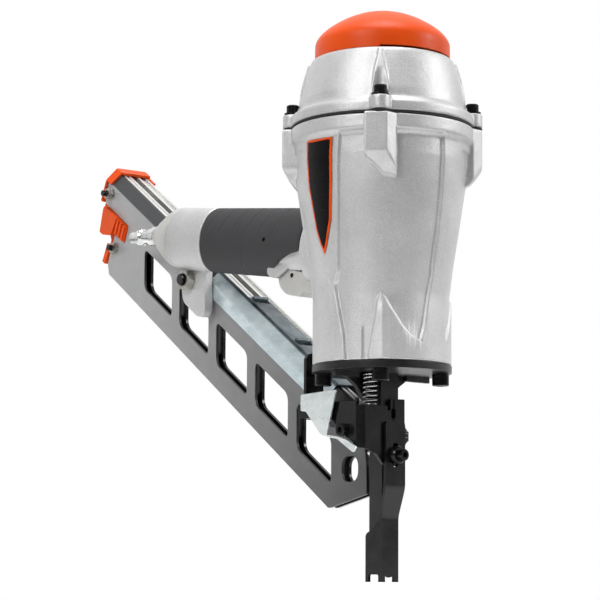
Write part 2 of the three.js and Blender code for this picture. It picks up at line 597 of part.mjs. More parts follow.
function crossBolt(s, p, tip, head, headRadius) {
  const body = join(rod(2.1, tip, head, 14), rod(headRadius, head, head + 3, 20));
  return alongX(cut(body, rod(1.6, head + 1.4, head + 4, 6)), 0, s, p);
}
const hexNut = (s, p, x, radius, hole, height) => alongX(
  cut(rod(radius, x - height, x, 6), rod(hole, x - height - 1, x + 1, 14)), 0, s, p);

// Stud that ties the magazine to the lug of the housing; its thin head is inside the plate.
const lugStud = () => alongX(
  join(rod(4, -23, -1.8), rod(5.5, -2.3, -1.6)), 0, ...LUG_BOLT);

// ---- assembly -----------------------------------------------------------------------
tool.add(piece('exhaust_cover', exhaustCover(), orangePlastic));
tool.add(piece('exhaust_cover_screw', exhaustScrew(), blackSteel));
tool.add(piece('cylinder_cap', cylinderCap(), castAluminium));
tool.add(piece('cap_gasket', ringGasket(), sealRubber));
tool.add(piece('housing', housingBody(), castAluminium));
tool.add(piece('label_panel', labelPanel(), labelFilm));
tool.add(piece('cylinder_sleeve', sleeve(), brightAluminium));
tool.add(piece('piston', piston(), brightAluminium));
tool.add(piece('piston_ring', pistonRing(), sealRubber));
tool.add(piece('driver_blade', driverBlade(), springSteel));
tool.add(piece('bumper', bumper(), sealRubber));
tool.add(piece('head_valve', headValve(), blackCasting));
tool.add(piece('head_valve_spring', coilSpring(24, 1.3, 4, 290.3, 314.7), springSteel));
tool.add(piece('nose_casting', noseCasting(), blackCasting));
tool.add(piece('guide_knob', guideKnob(), blackSteel));
CORNER_ANGLES.forEach((angle, i) => {
  const capBolt = placed(capScrew(4, 295.5, 5.1, 5.4, 2.5, 253), move(CAP_BOLT_CIRCLE, 0, 0));
  tool.add(piece(`cap_bolt_${i + 1}`, placed(capBolt, turnZ(angle)), blackSteel));
  const noseBolt = placed(capScrew(5.2, 0, 6.2, 5.2, 2.5, -20).mirror([0, 0, 1]),
    move(NOSE_BOLT_CIRCLE, 0, 119.4));
  tool.add(piece(`nose_bolt_${i + 1}`, placed(noseBolt, turnZ(angle)), blackSteel));
});
tool.add(piece('contact_tip', contactTip(), blackSteel));
tool.add(piece('contact_bracket', contactBracket(), blackSteel));
const contactSpring = piece('contact_spring', coilSpring(4.1, 0.6, 7, 105.8, 126.7), springSteel);
contactSpring.position.set(-12.5, -2.8, 0);
tool.add(contactSpring);
tool.add(piece('depth_screw', depthScrew(), blackSteel));
tool.add(piece('depth_collar', depthCollar(), blackSteel));
tool.add(piece('guard_plate', guardPlate(), zincSteel));
tool.add(piece('bracket_side_screw', sideScrew(), blackSteel));
tool.add(piece('trigger', triggerBody(), castAluminium));
tool.add(piece('trigger_pin', triggerPin(), blackSteel));
tool.add(piece('trigger_lever', triggerLever(), zincSteel));
tool.add(piece('trigger_valve_body', valveBody(), blackCasting));
tool.add(piece('trigger_valve_stem', valveStem(), springSteel));
tool.add(piece('grip', rubberGrip(), gripRubber));
tool.add(piece('handle_end_cap', handleEndCap(), castAluminium));
tool.add(piece('air_plug', airPlug(), whiteMetal));

magazine.add(piece('magazine_plate_near', nearPlate(), greySteel));
magazine.add(piece('magazine_plate_far', farPlate(), blackSteel));
magazine.add(piece('magazine_inner_rail', innerRail(), brightAluminium));
magazine.add(piece('magazine_outer_rail', outerRail(), brightAluminium));
magazine.add(piece('magazine_bottom_spacer', bottomSpacer(), blackSteel));
magazine.add(piece('magazine_front_spacer', frontSpacer(), blackSteel));
magazine.add(piece('channel_cover', channelCover(), zincSteel));
magazine.add(piece('follower', follower(), blackCasting));
magazine.add(piece('follower_spring', springRoll(), springSteel));
magazine.add(piece('magazine_rear_cap', rearCap(), orangePlastic));
magazine.add(piece('magazine_latch', latch(), orangePlastic));
magazine.add(piece('rear_bolt_upper', crossBolt(413, 52, -13.5, 21.8, 3.6), blackSteel));
magazine.add(piece('rear_bolt_lower', crossBolt(386.3, 20.4, -11, 4.3, 3.6), blackSteel));
magazine.add(piece('rear_nut_upper', hexNut(413, 52, -6.4, 4.4, 2.4, 3.6), zincSteel));
magazine.add(piece('rear_nut_lower', hexNut(386.3, 20.4, -4.3, 4.4, 2.4, 3.6), zincSteel));
magazine.add(piece('lug_bolt', lugStud(), blackSteel));
magazine.add(piece('lug_nut', hexNut(...LUG_BOLT, -15, 7.4, 4.5, 5.6), zincSteel));

magazine.rotation.set(MAGAZINE_PITCH, 0, 0);
magazine.position.set(0, 0, MAGAZINE_Z);
const yawed = new THREE.Group();
yawed.rotation.set(0, 0, -MAGAZINE_YAW);
yawed.add(magazine);
tool.add(yawed);
tool.position.set(0, DRIVE_AXIS_Y, 0);

const group = new THREE.Group();
group.add(tool);
export default group;
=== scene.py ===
"""Looks of the pneumatic nail gun: fine meshes, procedural materials, studio light and camera."""
import json
import math

import bpy
import bmesh
import numpy as np
from mathutils import Matrix, Vector


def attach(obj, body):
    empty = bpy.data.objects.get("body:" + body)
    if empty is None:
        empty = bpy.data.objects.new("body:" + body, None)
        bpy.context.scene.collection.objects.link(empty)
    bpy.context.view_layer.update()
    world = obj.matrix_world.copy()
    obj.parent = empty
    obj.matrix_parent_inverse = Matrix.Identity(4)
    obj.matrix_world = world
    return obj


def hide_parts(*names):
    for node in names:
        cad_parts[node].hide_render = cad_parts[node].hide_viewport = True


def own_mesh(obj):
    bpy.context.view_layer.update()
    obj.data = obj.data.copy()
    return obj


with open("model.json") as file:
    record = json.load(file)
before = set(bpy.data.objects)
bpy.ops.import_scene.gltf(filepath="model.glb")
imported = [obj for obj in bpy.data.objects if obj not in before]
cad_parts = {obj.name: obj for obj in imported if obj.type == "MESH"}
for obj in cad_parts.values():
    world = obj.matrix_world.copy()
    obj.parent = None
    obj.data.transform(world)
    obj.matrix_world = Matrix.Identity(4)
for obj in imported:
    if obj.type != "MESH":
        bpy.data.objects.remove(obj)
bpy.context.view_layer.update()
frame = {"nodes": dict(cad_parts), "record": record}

RECORD = frame["record"]
BODY_OF = {n: body for body, names in RECORD["behaviour"]["bodies"].items() for n in names}

# ---- frames: everything below is drawn in millimetres with the drive axis at x = y = 0 ----
AXIS_Y = -137.438
TO_ROW = Matrix.Scale(0.001, 4) @ Matrix.Translation((0, AXIS_Y, 0))
PITCH = math.radians(33.24)
YAW = math.radians(5.54)
YAWED = Matrix.Rotation(-YAW, 4, "Z")
MAG_LIFT = 13.55
MAG = YAWED @ Matrix.Translation((0, 0, MAG_LIFT)) @ Matrix.Rotation(PITCH, 4, "X")
FLIP_Z = Matrix.Scale(-1, 4, (0, 0, 1))
CORNERS = (45, 135, 225, 315)       # the bolts' directions, in degrees round the drive axis
CAP_BOLT_CIRCLE = 56
NOSE_BOLT_CIRCLE = 36
MAG_X = (MAG.to_3x3() @ Vector((1, 0, 0))).normalized()     # across the magazine's plates
MAG_S = (MAG.to_3x3() @ Vector((0, 1, 0))).normalized()     # along the magazine
MAG_P = (MAG.to_3x3() @ Vector((0, 0, 1))).normalized()     # up from its bottom edge
MAG_P0 = MAG_P.dot(MAG.translation)
MAG_S0 = MAG_S.dot(MAG.translation)


def move(x, y, z):
    return Matrix.Translation((x, y, z))


def turn(angle, axis="Z"):
    return Matrix.Rotation(math.radians(angle), 4, axis)


# ---- mesh building ----
def make(verts, faces):
    mesh = bpy.data.meshes.new("part")
    mesh.from_pydata([tuple(v) for v in verts], [], faces)
    bm = bmesh.new()
    bm.from_mesh(mesh)
    bmesh.ops.remove_doubles(bm, verts=bm.verts, dist=1e-5)
    bmesh.ops.recalc_face_normals(bm, faces=bm.faces)
    bm.to_mesh(mesh)
    bm.free()
    obj = bpy.data.objects.new("part", mesh)
    bpy.context.scene.collection.objects.link(obj)
    return obj


def placed(obj, *matrices):
    for m in matrices:
        obj.data.transform(m)
        if m.determinant() < 0:
            obj.data.flip_normals()
    return obj


def round_axis(obj, radius, angle):
    """A piece drawn on the drive axis, moved out by a radius and round by an angle."""
    return placed(obj, move(radius, 0, 0), turn(angle))


def turned(points, segments=96):
    """A closed outline of (radius, height) turned about Z."""
    verts, rings = [], []
    for r, z in points:
        if r == 0:
            rings.append([len(verts)] * segments)
            verts.append((0, 0, z))
        else:
            rings.append(list(range(len(verts), len(verts) + segments)))
            for k in range(segments):
                a = 2 * math.pi * k / segments
                verts.append((r * math.cos(a), r * math.sin(a), z))
    faces = []
    on_axis = points[0][0] == 0 and points[-1][0] == 0
    count = len(points) - 1 if on_axis else len(points)
    for i in range(count):
        a, b = rings[i], rings[(i + 1) % len(points)]
        for k in range(segments):
            n = (k + 1) % segments
            ring = [a[k], a[n], b[n], b[k]]
            face = [v for j, v in enumerate(ring) if v != ring[j - 1]]
            if len(set(face)) > 2:
                faces.append(face)
    return make(verts, faces)


def rod(radius, z0, z1, segments=48):
    return turned([(0, z0), (radius, z0), (radius, z1), (0, z1)], segments)


def tube(verts, around):
    """A skin over rings of points, closed at both ends."""
    rows = len(verts) // around
    faces = []
    for i in range(rows - 1):
        for k in range(around):
            n = (k + 1) % around
            faces.append([i * around + k, i * around + n, (i + 1) * around + n,
                          (i + 1) * around + k])
    faces.append(list(range(around))[::-1])
    faces.append(list(range((rows - 1) * around, rows * around)))
    return make(verts, faces)


def prism(points, d0, d1, basis=Matrix.Identity(4)):
    """An outline between two planes; basis turns it from the XY plane to its own."""
    n = len(points)
    verts = [(u, v, d0) for u, v in points] + [(u, v, d1) for u, v in points]
    faces = [list(range(n))[::-1], list(range(n, 2 * n))]
    faces += [[i, (i + 1) % n, n + (i + 1) % n, n + i] for i in range(n)]
    return placed(make(verts, faces), basis)


YZ_TO_X = Matrix(((0, 0, 1, 0), (1, 0, 0, 0), (0, 1, 0, 0), (0, 0, 0, 1)))
XZ_TO_Y = Matrix(((1, 0, 0, 0), (0, 0, 1, 0), (0, 1, 0, 0), (0, 0, 0, 1)))


def side(points, x0, x1):
    """An outline of (y, z) between two planes of constant x."""
    return prism(points, x0, x1, YZ_TO_X)


def front(points, y0, y1):
    """An outline of (x, z) between two planes of constant y."""
    return prism(points, y0, y1, XZ_TO_Y)


def block(x0, y0, z0, x1, y1, z1):
    return prism([(x0, y0), (x1, y0), (x1, y1), (x0, y1)], z0, z1)


def soft(points, radius, steps=5):
    """The outline with each corner rounded; a third number in a point sets its own radius."""
    out = []
    n = len(points)
    for i, p in enumerate(points):
        r = p[2] if len(p) > 2 else radius
        here = Vector(p[:2])
        before = Vector(points[i - 1][:2]) - here
        after = Vector(points[(i + 1) % n][:2]) - here
        r = min(r, before.length * 0.45, after.length * 0.45)
        a = here + before.normalized() * r
        b = here + after.normalized() * r
        for k in range(steps + 1):
            t = k / steps
            out.append(tuple(a * (1 - t) ** 2 + here * 2 * t * (1 - t) + b * t ** 2))
    return out


def applied(obj):
    """The object with its modifiers worked into its mesh."""
    deps = bpy.context.evaluated_depsgraph_get()
    mesh = bpy.data.meshes.new_from_object(obj.evaluated_get(deps))
    old = obj.data
    obj.modifiers.clear()
    obj.data = mesh
    bpy.data.meshes.remove(old)
    return obj


def boolean(base, others, operation):
    for other in others:
        m = base.modifiers.new("b", "BOOLEAN")
        m.operation, m.solver, m.object = operation, "MANIFOLD", other
    applied(base)
    for other in others:
        bpy.data.objects.remove(other)
    return base


def join(base, *others):
    return boolean(base, others, "UNION")


def cut(base, *others):
    return boolean(base, others, "DIFFERENCE")


def common(base, *others):
    return boolean(base, others, "INTERSECT")


def cast(obj, voxel=0.9, smooth=4, ratio=0.35):
    """The object with every edge rounded and every inner corner filled, as in a casting."""
    m = obj.modifiers.new("r", "REMESH")
    m.mode, m.voxel_size, m.use_smooth_shade = "VOXEL", voxel, True
    m = obj.modifiers.new("s", "SMOOTH")
    m.factor, m.iterations = 0.5, smooth
    if ratio < 1:
        m = obj.modifiers.new("d", "DECIMATE")
        m.ratio = ratio
    return applied(obj)


def bevelled(obj, width=0.35, segments=2, angle=35):
    """The object with its edges sharper than an angle rounded over."""
    m = obj.modifiers.new("v", "BEVEL")
    m.width, m.segments, m.limit_method = width, segments, "ANGLE"
    m.angle_limit, m.use_clamp_overlap = math.radians(angle), True
    return applied(obj)


def coil(radius, wire, turns, z0, z1, steps=28, sides=10):
    """A compression spring with closed end turns."""
    verts = []
    count = int(turns * steps)
    height = z1 - z0 - 2 * wire
    for i in range(count + 1):
        t = i / count
        a = 2 * math.pi * turns * t
        lead = 1 / turns
        s = min(max((t - lead) / (1 - 2 * lead), 0), 1)
        z = z0 + wire + s * (height - 4 * wire) + 2 * wire * (
            min(t / lead, 1) + max((t - 1 + lead) / lead, 0))
        centre = Vector((radius * math.cos(a), radius * math.sin(a), z))
        out = Vector((math.cos(a), math.sin(a), 0))
        for k in range(sides):
            b = 2 * math.pi * k / sides
            verts.append(centre + out * wire * math.cos(b) + Vector((0, 0, wire * math.sin(b))))
    return tube(verts, sides)


def along_x(obj, x, y, z):
    """A piece drawn along Z, laid along X through a point."""
    return placed(obj, turn(90, "Y"), move(x, y, z))


def along_y(obj, x, y, z):
    return placed(obj, turn(-90, "X"), move(x, y, z))


# ---- materials ----
class Nodes:
    """Small helper around one material's node tree."""

    def __init__(self, name):
        self.mat = bpy.data.materials.new(name)
        self.mat.use_nodes = True
        self.tree = self.mat.node_tree
        self.shader = self.tree.nodes["Principled BSDF"]
        self.place = self.tree.nodes.new("ShaderNodeTexCoord").outputs["Object"]

    def add(self, kind, **inputs):
        node = self.tree.nodes.new("ShaderNode" + kind)
        for key, value in inputs.items():
            key = key.replace("_", " ")
            if isinstance(value, bpy.types.NodeSocket):
                self.tree.links.new(value, node.inputs[key])
            else:
                node.inputs[key].default_value = value
        return node

    def scaled(self, scale):
        node = self.add("Mapping", Vector=self.place)
        node.inputs["Scale"].default_value = scale
        return node.outputs[0]

    def noise(self, scale, detail=4, rough=0.6, vector=None):
        node = self.add("TexNoise", Scale=scale, Detail=detail, Roughness=rough,
                        Vector=vector or self.place)
        return node.outputs["Fac"]

    def cells(self, scale, output="Color"):
        return self.add("TexVoronoi", Scale=scale, Vector=self.place).outputs[output]

    def along(self, direction, low, high):
        """0 to 1 as the place goes from low to high millimetres along a direction."""
        node = self.tree.nodes.new("ShaderNodeVectorMath")
        node.operation = "DOT_PRODUCT"
        node.inputs[1].default_value = direction
        self.tree.links.new(self.place, node.inputs[0])
        offset = direction.dot(Vector((0, AXIS_Y, 0)))
        return self.ramp(node.outputs["Value"], (low + offset) / 1000, (high + offset) / 1000,
                         0.0, 1.0)

    def ramp(self, value, low, high, a, b):
        """value from low to high becomes a to b, either numbers or colours."""
        if isinstance(a, (int, float)):
            node = self.add("MapRange", Value=value)
            for key, v in zip(("From Min", "From Max", "To Min", "To Max"), (low, high, a, b)):
                node.inputs[key].default_value = v
            return node.outputs[0]
        node = self.add("ValToRGB", Fac=value)
        node.color_ramp.elements[0].position = low
        node.color_ramp.elements[1].position = high
        node.color_ramp.elements[0].color = (*a, 1)
        node.color_ramp.elements[1].color = (*b, 1)
        return node.outputs[0]

    def mix(self, fac, a, b, blend="MIX"):
        node = self.tree.nodes.new("ShaderNodeMix")
        node.data_type, node.blend_type = "RGBA", blend
        for socket, value in ((node.inputs[0], fac), (node.inputs[6], a), (node.inputs[7], b)):
            if isinstance(value, bpy.types.NodeSocket):
                self.tree.links.new(value, socket)
            else:
                socket.default_value = value if isinstance(value, float) else (*value, 1)
        return node.outputs[2]

    def times(self, a, b):
        return self.mix(1.0, a, b, "MULTIPLY")

    def out(self, **sockets):
        """The finished material, with these values or sockets on its shader."""
        for key, value in sockets.items():
            socket = self.shader.inputs[key.replace("_", " ")]
            if isinstance(value, bpy.types.NodeSocket):
                self.tree.links.new(value, socket)
            else:
                socket.default_value = value
        return self.mat

    def bump(self, *layers):
        """Bumps laid over one another, each as (height, strength, distance in metres)."""
        below = {}
        for height, strength, distance in layers:
            node = self.add("Bump", Height=height, Strength=strength, Distance=distance, **below)
            below = {"Normal": node.outputs[0]}
        self.tree.links.new(node.outputs[0], self.shader.inputs["Normal"])


def cast_paint(name, dark, light, metallic=0.5, rough=(0.36, 0.52), grain=1.0):
    """Sprayed casting: fine sparkle, orange peel and slightly darker patches."""
    n = Nodes(name)
    patches = n.noise(26, 3)
    grit = n.noise(1150, 3, 0.75)
    base = n.ramp(patches, 0.3, 0.72, dark, light)
    shade = n.ramp(grit, 0.36, 0.66, (0.84, 0.84, 0.84), (1, 1, 1))
    amount = 0.30 * grain
    fleck = n.ramp(n.noise(2100, 1, 0.5), 0.58, 0.74, (0, 0, 0), (amount, amount, amount))
    colour = n.mix(fleck, n.times(base, shade), tuple(min(c * 1.7, 0.98) for c in light))
    n.bump((grit, 0.40 * grain, 0.00035), (n.noise(170, 3), 0.25 * grain, 0.0006))
    return n.out(Base_Color=colour, Metallic=metallic, Roughness=n.ramp(grit, 0.3, 0.7, *rough))


def black_metal(name, dark, light, rough, metallic, bump=0.25):
    """Blackened steel with faint mottling and small scuffs."""
    n = Nodes(name)
    mottle = n.noise(120, 5, 0.65)
    scuffs = n.ramp(n.noise(1.0, 6, 0.7, n.scaled((240, 240, 40))), 0.66, 0.8, (0, 0, 0),
                    (1, 1, 1))
    base = n.ramp(mottle, 0.3, 0.75, dark, light)
    colour = n.mix(scuffs, base, (0.09, 0.09, 0.095))
    n.bump((n.noise(700, 4, 0.7), bump, 0.0002))
    return n.out(Base_Color=colour, Metallic=metallic, Roughness=n.ramp(mottle, 0.3, 0.7, *rough))


def galvanised(name, dark, light, spangle=95, top=None):
    """Zinc coat with spangle, soft cloudiness and streaks; top is the colour of a painted dark
    reflection laid over the upper face.
    """
    n = Nodes(name)
    grey = n.add("RGBToBW", Color=n.cells(spangle)).outputs[0]
    cloud = n.noise(40, 5, 0.65)
    streak = n.noise(1.0, 4, 0.7, n.scaled((120, 18, 120)))
    base = n.mix(n.ramp(streak, 0.4, 0.7, (0, 0, 0), (0.6, 0.6, 0.6)),
                 n.ramp(cloud, 0.32, 0.7, dark, light), tuple(min(c * 1.15, 1) for c in light))
    # Painted reflection: the upper face takes the dark slate top colour in place of the dark
    # surroundings it would reflect.
    if top:
        upper = n.along(MAG_P, MAG_P0 + 66.2, MAG_P0 + 67.2)
        base = n.mix(upper, base, n.ramp(cloud, 0.3, 0.7, *top))
    tint = n.ramp(grey, 0.35, 0.75, (0, 0, 0), (0.35, 0.35, 0.35))
    colour = n.mix(tint, base, n.times(base, n.ramp(grey, 0, 1, (1, 1, 1), (0.7, 0.72, 0.73))))
    n.bump((n.noise(500, 3), 0.12, 0.0002))
    return n.out(Base_Color=colour, Metallic=0.8, Roughness=n.ramp(grey, 0.2, 0.8, 0.24, 0.40))


def satin_sheet(name):
    """Satin grey painted sheet with black inner faces; painted shadow darkens it to near-black at
    the front, so it is lighter towards the rear.
    """
    n = Nodes(name)
    fine = n.noise(1.0, 4, 0.7, n.scaled((300, 60, 60)))
    front_painted_shadow_grey = n.ramp(fine, 0.3, 0.7, (0.060, 0.060, 0.062), (0.078, 0.078, 0.080))
    rear_grey = n.ramp(fine, 0.3, 0.7, (0.40, 0.40, 0.405), (0.46, 0.46, 0.465))
    # Painted shadow: the face grey runs from near-black at the front to mid grey at the rear.
    face = n.mix(n.along(MAG_S, MAG_S0 + 40, MAG_S0 + 430), front_painted_shadow_grey, rear_grey)
    fold = n.along(MAG_P, MAG_P0 + 58.2, MAG_P0 + 59.0)
    face = n.mix(fold, face, (0.065, 0.067, 0.072))
    low = n.along(MAG_P, MAG_P0 + 43.0, MAG_P0 + 42.0)
    inner = n.mix(low, (0.0, 0.0, 0.0),
                  n.ramp(n.along(MAG_X, -3.9, -3.6), 0, 1, (0, 0, 0), (1, 1, 1)))
    colour = n.mix(inner, face, (0.008, 0.008, 0.008))
    n.bump((n.noise(900, 3), 0.08, 0.0002))
    return n.out(Base_Color=colour, Metallic=0.25, Roughness=n.ramp(fine, 0.3, 0.7, 0.34, 0.44))


def drawn(name, dark, light, scale, rough=(0.25, 0.4), metallic=0.9, bump=0.2):
    """Drawn or brushed metal: fine streaks along one direction."""
    n = Nodes(name)
    streak = n.noise(1.0, 4, 0.7, n.scaled(scale))
    colour = n.ramp(streak, 0.3, 0.7, dark, light)
    n.bump((streak, bump, 0.0001))
    return n.out(Base_Color=colour, Metallic=metallic, Roughness=n.ramp(streak, 0.3, 0.7, *rough))


def moulded(name, dark, light, rough=(0.34, 0.46), texture=1400, bump=0.12, shine=0.3):
    """Moulded plastic: even colour with faint flow marks and a fine grain."""
    n = Nodes(name)
    flow = n.noise(22, 3)
    n.bump((n.noise(texture, 3, 0.7), bump, 0.00015))
    return n.out(Base_Color=n.ramp(flow, 0.3, 0.75, dark, light), Specular_IOR_Level=shine,
                 Roughness=n.ramp(n.noise(300, 3), 0.3, 0.7, *rough))


def rubber(name, dark, light):
    """Matt rubber: fine stipple, dust and paler rubbed streaks."""
    n = Nodes(name)
    dust = n.noise(45, 6, 0.7)
    rub = n.ramp(n.noise(1.0, 5, 0.7, n.scaled((60, 220, 220))), 0.64, 0.86, (0, 0, 0),
                 (0.6, 0.6, 0.6))
    colour = n.mix(rub, n.ramp(dust, 0.3, 0.75, dark, light), tuple(c * 1.8 for c in light))
    n.bump((n.cells(1300, "Distance"), 0.25, 0.0002), (n.noise(90, 4), 0.15, 0.0005))
    return n.out(Base_Color=colour, Roughness=n.ramp(dust, 0.3, 0.7, 0.62, 0.8))


ALU = cast_paint("sprayed_cast_aluminium", (0.53, 0.53, 0.53), (0.64, 0.64, 0.64), grain=1.35)
ALU_SMOOTH = cast_paint("smooth_cast_aluminium", (0.52, 0.515, 0.50), (0.60, 0.595, 0.575), 0.35,
                        (0.4, 0.5), 0.45)
BLACK = black_metal("blackened_steel", (0.004, 0.004, 0.005), (0.010, 0.010, 0.011),
                    (0.16, 0.28), 0.3, 0.12)
BLACK_CAST = black_metal("black_nose_casting", (0.005, 0.005, 0.006), (0.014, 0.014, 0.015),
                         (0.3, 0.45), 0.2, 0.45)
BLACK_BOLT = black_metal("black_oxide_screw", (0.003, 0.003, 0.003), (0.010, 0.010, 0.010),
                         (0.18, 0.3), 0.5)
# SHEET carries painted shadow that darkens the magazine plate towards its front.
SHEET = satin_sheet("satin_grey_sheet_painted_front_shadow")
# The channel cover's upper face gets a dark slate painted reflection through top.
ZINC = galvanised("galvanised_cover_painted_top_reflection", (0.50, 0.60, 0.63), (0.74, 0.83, 0.85),
                  top=((0.045, 0.06, 0.068), (0.20, 0.245, 0.265)))
ZINC_BRIGHT = galvanised("bright_zinc_plate", (0.66, 0.72, 0.72), (0.84, 0.88, 0.87), 160)
PLUG_ZINC = drawn("zinc_plated_fitting", (0.50, 0.52, 0.51), (0.88, 0.90, 0.88), (260, 120, 260),
                  (0.16, 0.3), 0.9, 0.15)
RAIL = drawn("drawn_aluminium", (0.66, 0.66, 0.64), (0.80, 0.80, 0.78), (160, 20, 20), (0.3, 0.38),
             0.8, 0.05)
NUT_ZINC = drawn("zinc_plated_nut", (0.24, 0.235, 0.215), (0.52, 0.50, 0.46), (220, 220, 220),
                 (0.25, 0.4), 0.85, 0.2)
STEEL = drawn("ground_steel", (0.5, 0.5, 0.49), (0.75, 0.75, 0.74), (400, 400, 30), (0.18, 0.3))
ORANGE = moulded("orange_plastic", (0.68, 0.066, 0.004), (0.78, 0.086, 0.007), shine=0.16)
DARK_PLASTIC = moulded("black_plastic", (0.010, 0.010, 0.011), (0.020, 0.020, 0.022))
RUBBER = rubber("grip_rubber", (0.020, 0.020, 0.022), (0.036, 0.036, 0.039))
SEAL = rubber("seal_rubber", (0.005, 0.005, 0.005), (0.012, 0.012, 0.012))
LABEL = moulded("black_label_film", (0.003, 0.003, 0.003), (0.006, 0.006, 0.006), (0.2, 0.3), 900,
                0.03, 0.14)
SLOT_LOOK = {"cast_aluminium": ALU, "black_steel": BLACK, "black_casting": BLACK_CAST,
             "grey_steel": SHEET, "zinc_steel": ZINC_BRIGHT, "bright_aluminium": RAIL,
             "orange": ORANGE, "grip_rubber": RUBBER, "seal_rubber": SEAL, "tool_steel": STEEL,
             "black_plastic": DARK_PLASTIC, "label_film": LABEL}


SMOOTH = 70


def piece(name, obj, material, *nodes, crease=38, body=None):
    """Hands a finished mesh over to the frame in place of CAD nodes.

    Edges sharper than crease stay sharp; SMOOTH is for castings, whose edges are all rounded."""
    placed(obj, TO_ROW)
    obj.data.shade_smooth()
    obj.data.set_sharp_from_angle(angle=math.radians(crease))
    if crease < SMOOTH:
        m = obj.modifiers.new("n", "WEIGHTED_NORMAL")
        m.mode, m.weight, m.keep_sharp = "FACE_AREA", 80, True
        applied(obj)
    obj.name = obj.data.name = name
    obj.data.materials.clear()
    obj.data.materials.append(material)
    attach(obj, body or BODY_OF[nodes[0]])
    if nodes:
        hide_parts(*nodes)
    return obj


# ---- exhaust cover and cap ----
def exhaust_cover():
    outer = [(42.3, 324), (42.3, 329.2), (42.2, 332.9), (41.4, 335.2), (40.1, 337.2), (38.5, 339.0),
             (36.6, 340.8), (34.3, 342.6), (31.8, 344.3), (28.9, 346.1), (25.7, 347.9),
             (22.1, 349.6), (18.1, 351.2), (14.4, 352.4), (11, 353.2), (8.4, 353.7),
             (6.6, 353.95), (5.6, 354), (5.2, 353.7), (5.2, 350.4), (2.7, 350.4)]
    inner = [(2.7, 323.2), (8, 323.2), (8, 348.2), (16, 347.4), (25, 345), (33.5, 339.6),
             (38.6, 335.4), (40.2, 332), (40.2, 324)]
    cover = turned(outer + inner, 128)
    skirt = turned([(40.4, 322.9), (42.3, 322.9), (42.3, 325), (40.4, 325)], 128)
    skirt = common(skirt, placed(block(-60, 0, 300, 60, 60, 340), turn(44)))
    return bevelled(join(cover, skirt), 0.3, 2, 40)


CAP_PROFILE = [(56.8, 280.3), (56.8, 286.2), (56.2, 287.2), (53.4, 288.6), (52.2, 290.6),
               (51.4, 296), (49.2, 305), (46.8, 314.5), (45.2, 320), (44.2, 322.0), (42.6, 322.6)]


def cylinder_cap():
    cap = turned([(0, 315), (37.8, 315), (37.8, 280.3)] + CAP_PROFILE + [(0, 322.6)], 128)
    extras = []
    for angle in CORNERS:
        wedge = side([(-1.3, 321), (1.3, 321), (4.6, 302), (5.8, 288), (-5.8, 288), (-4.6, 302)],
                     38, 60)
        rib = common(wedge, turned([(36, 282)] + [(r + 1.7, z) for r, z in CAP_PROFILE[4:]]
                                   + [(36, 322.4)], 128))
        lug = block(46, -6.3, 280.3, CAP_BOLT_CIRCLE, 6.3, 289)
        boss = placed(rod(6.3, 280.3, 289), move(CAP_BOLT_CIRCLE, 0, 0))
        extras.append(placed(join(lug, boss, rib), turn(angle)))
    cap = join(cap, *extras)
    tools = [rod(2.7, 312, 330)]
    for angle in CORNERS:
        tools.append(round_axis(rod(6.1, 289, 312), CAP_BOLT_CIRCLE, angle))
        tools.append(round_axis(rod(2.9, 270, 292), CAP_BOLT_CIRCLE, angle))
        tools.append(round_axis(rod(5, 312, 330), 22, angle + 45))
    return cast(cut(cap, *tools), 0.8, 3, 0.4)


def gasket():
    body = turned([(39, 279), (56.9, 279), (56.9, 280), (39, 280)], 128)
    lugs = [placed(join(block(46, -6.2, 279, CAP_BOLT_CIRCLE, 6.2, 280),
                        placed(rod(6.2, 279, 280), move(CAP_BOLT_CIRCLE, 0, 0))), turn(angle))
            for angle in CORNERS]
    return bevelled(join(body, *lugs), 0.15, 1)


def socket_screw(radius, top, height, washer, end):
    """Socket head screw with its washer, head up; its shank goes down to end."""
    seat = top - height
    head = turned([(0, seat), (radius, seat), (radius, top - 0.5), (radius - 0.5, top),
                   (0, top)], 40)
    head = cut(head, rod(radius * 0.52, top - height * 0.55, top + 1, 6))
    flutes = [round_axis(rod(0.28, seat + 0.6, top - 0.7, 6), radius, 15 * k) for k in range(24)]
    ring = turned([(radius * 0.4, seat - 1.1), (washer, seat - 1.1), (washer, seat),
                   (radius * 0.4, seat)], 40)
    return join(cut(head, *flutes), ring, rod(2.4, end, seat + 0.3, 24))


# ---- housing ----
# The cylinder's wall, and the outlines of its pattern in (degrees from the front, height).
BODY_Z = [131.9, 172.5, 192, 210, 242, 256, 266.4, 267.4, 268.6, 269.8, 270.8, 278.7]
BODY_R = [42.7, 42.8, 45.1, 48.1, 53.0, 54.5, 54.7, 55.0, 55.9, 56.7, 57.0, 57.0]
PANEL = [(-71.5, 272), (-1, 272), (-0.6, 259.6), (1.3, 221.2), (0.3, 183.3), (-7.2, 151.4),
         (-10.5, 144), (-18.8, 146.6), (-26.6, 152.4), (-35.7, 162.4), (-41.5, 169.8),
         (-44.7, 171.4), (-47.5, 168), (-50.1, 155.2), (-54.9, 134.8), (-55.5, 126), (-75.2, 126),
         (-75.4, 133.5), (-76.8, 147.5), (-84.5, 172), (-85.5, 178), (-80.8, 186), (-75.2, 227.7)]
SHIELD = [(-101.2, 267.0), (-76.4, 266.6), (-78.3, 240), (-82, 216.4), (-88, 203), (-93.1, 195.6),
          (-97, 203), (-99.8, 212.1), (-102.5, 236.8)]
FLANK = [(-130, 262), (-107, 262), (-107.5, 236), (-104.5, 211), (-97.5, 191), (-92.5, 178),
         (-89.5, 160), (-86, 126), (-130, 126)]
REAR_PANEL = [(20, 262), (95, 262), (92, 200), (84, 150), (70, 144), (55, 160), (45, 171.4),
              (35, 160), (22, 146), (16, 170), (14, 220)]


DEGREE = 0.84                     # millimetres of wall in one degree


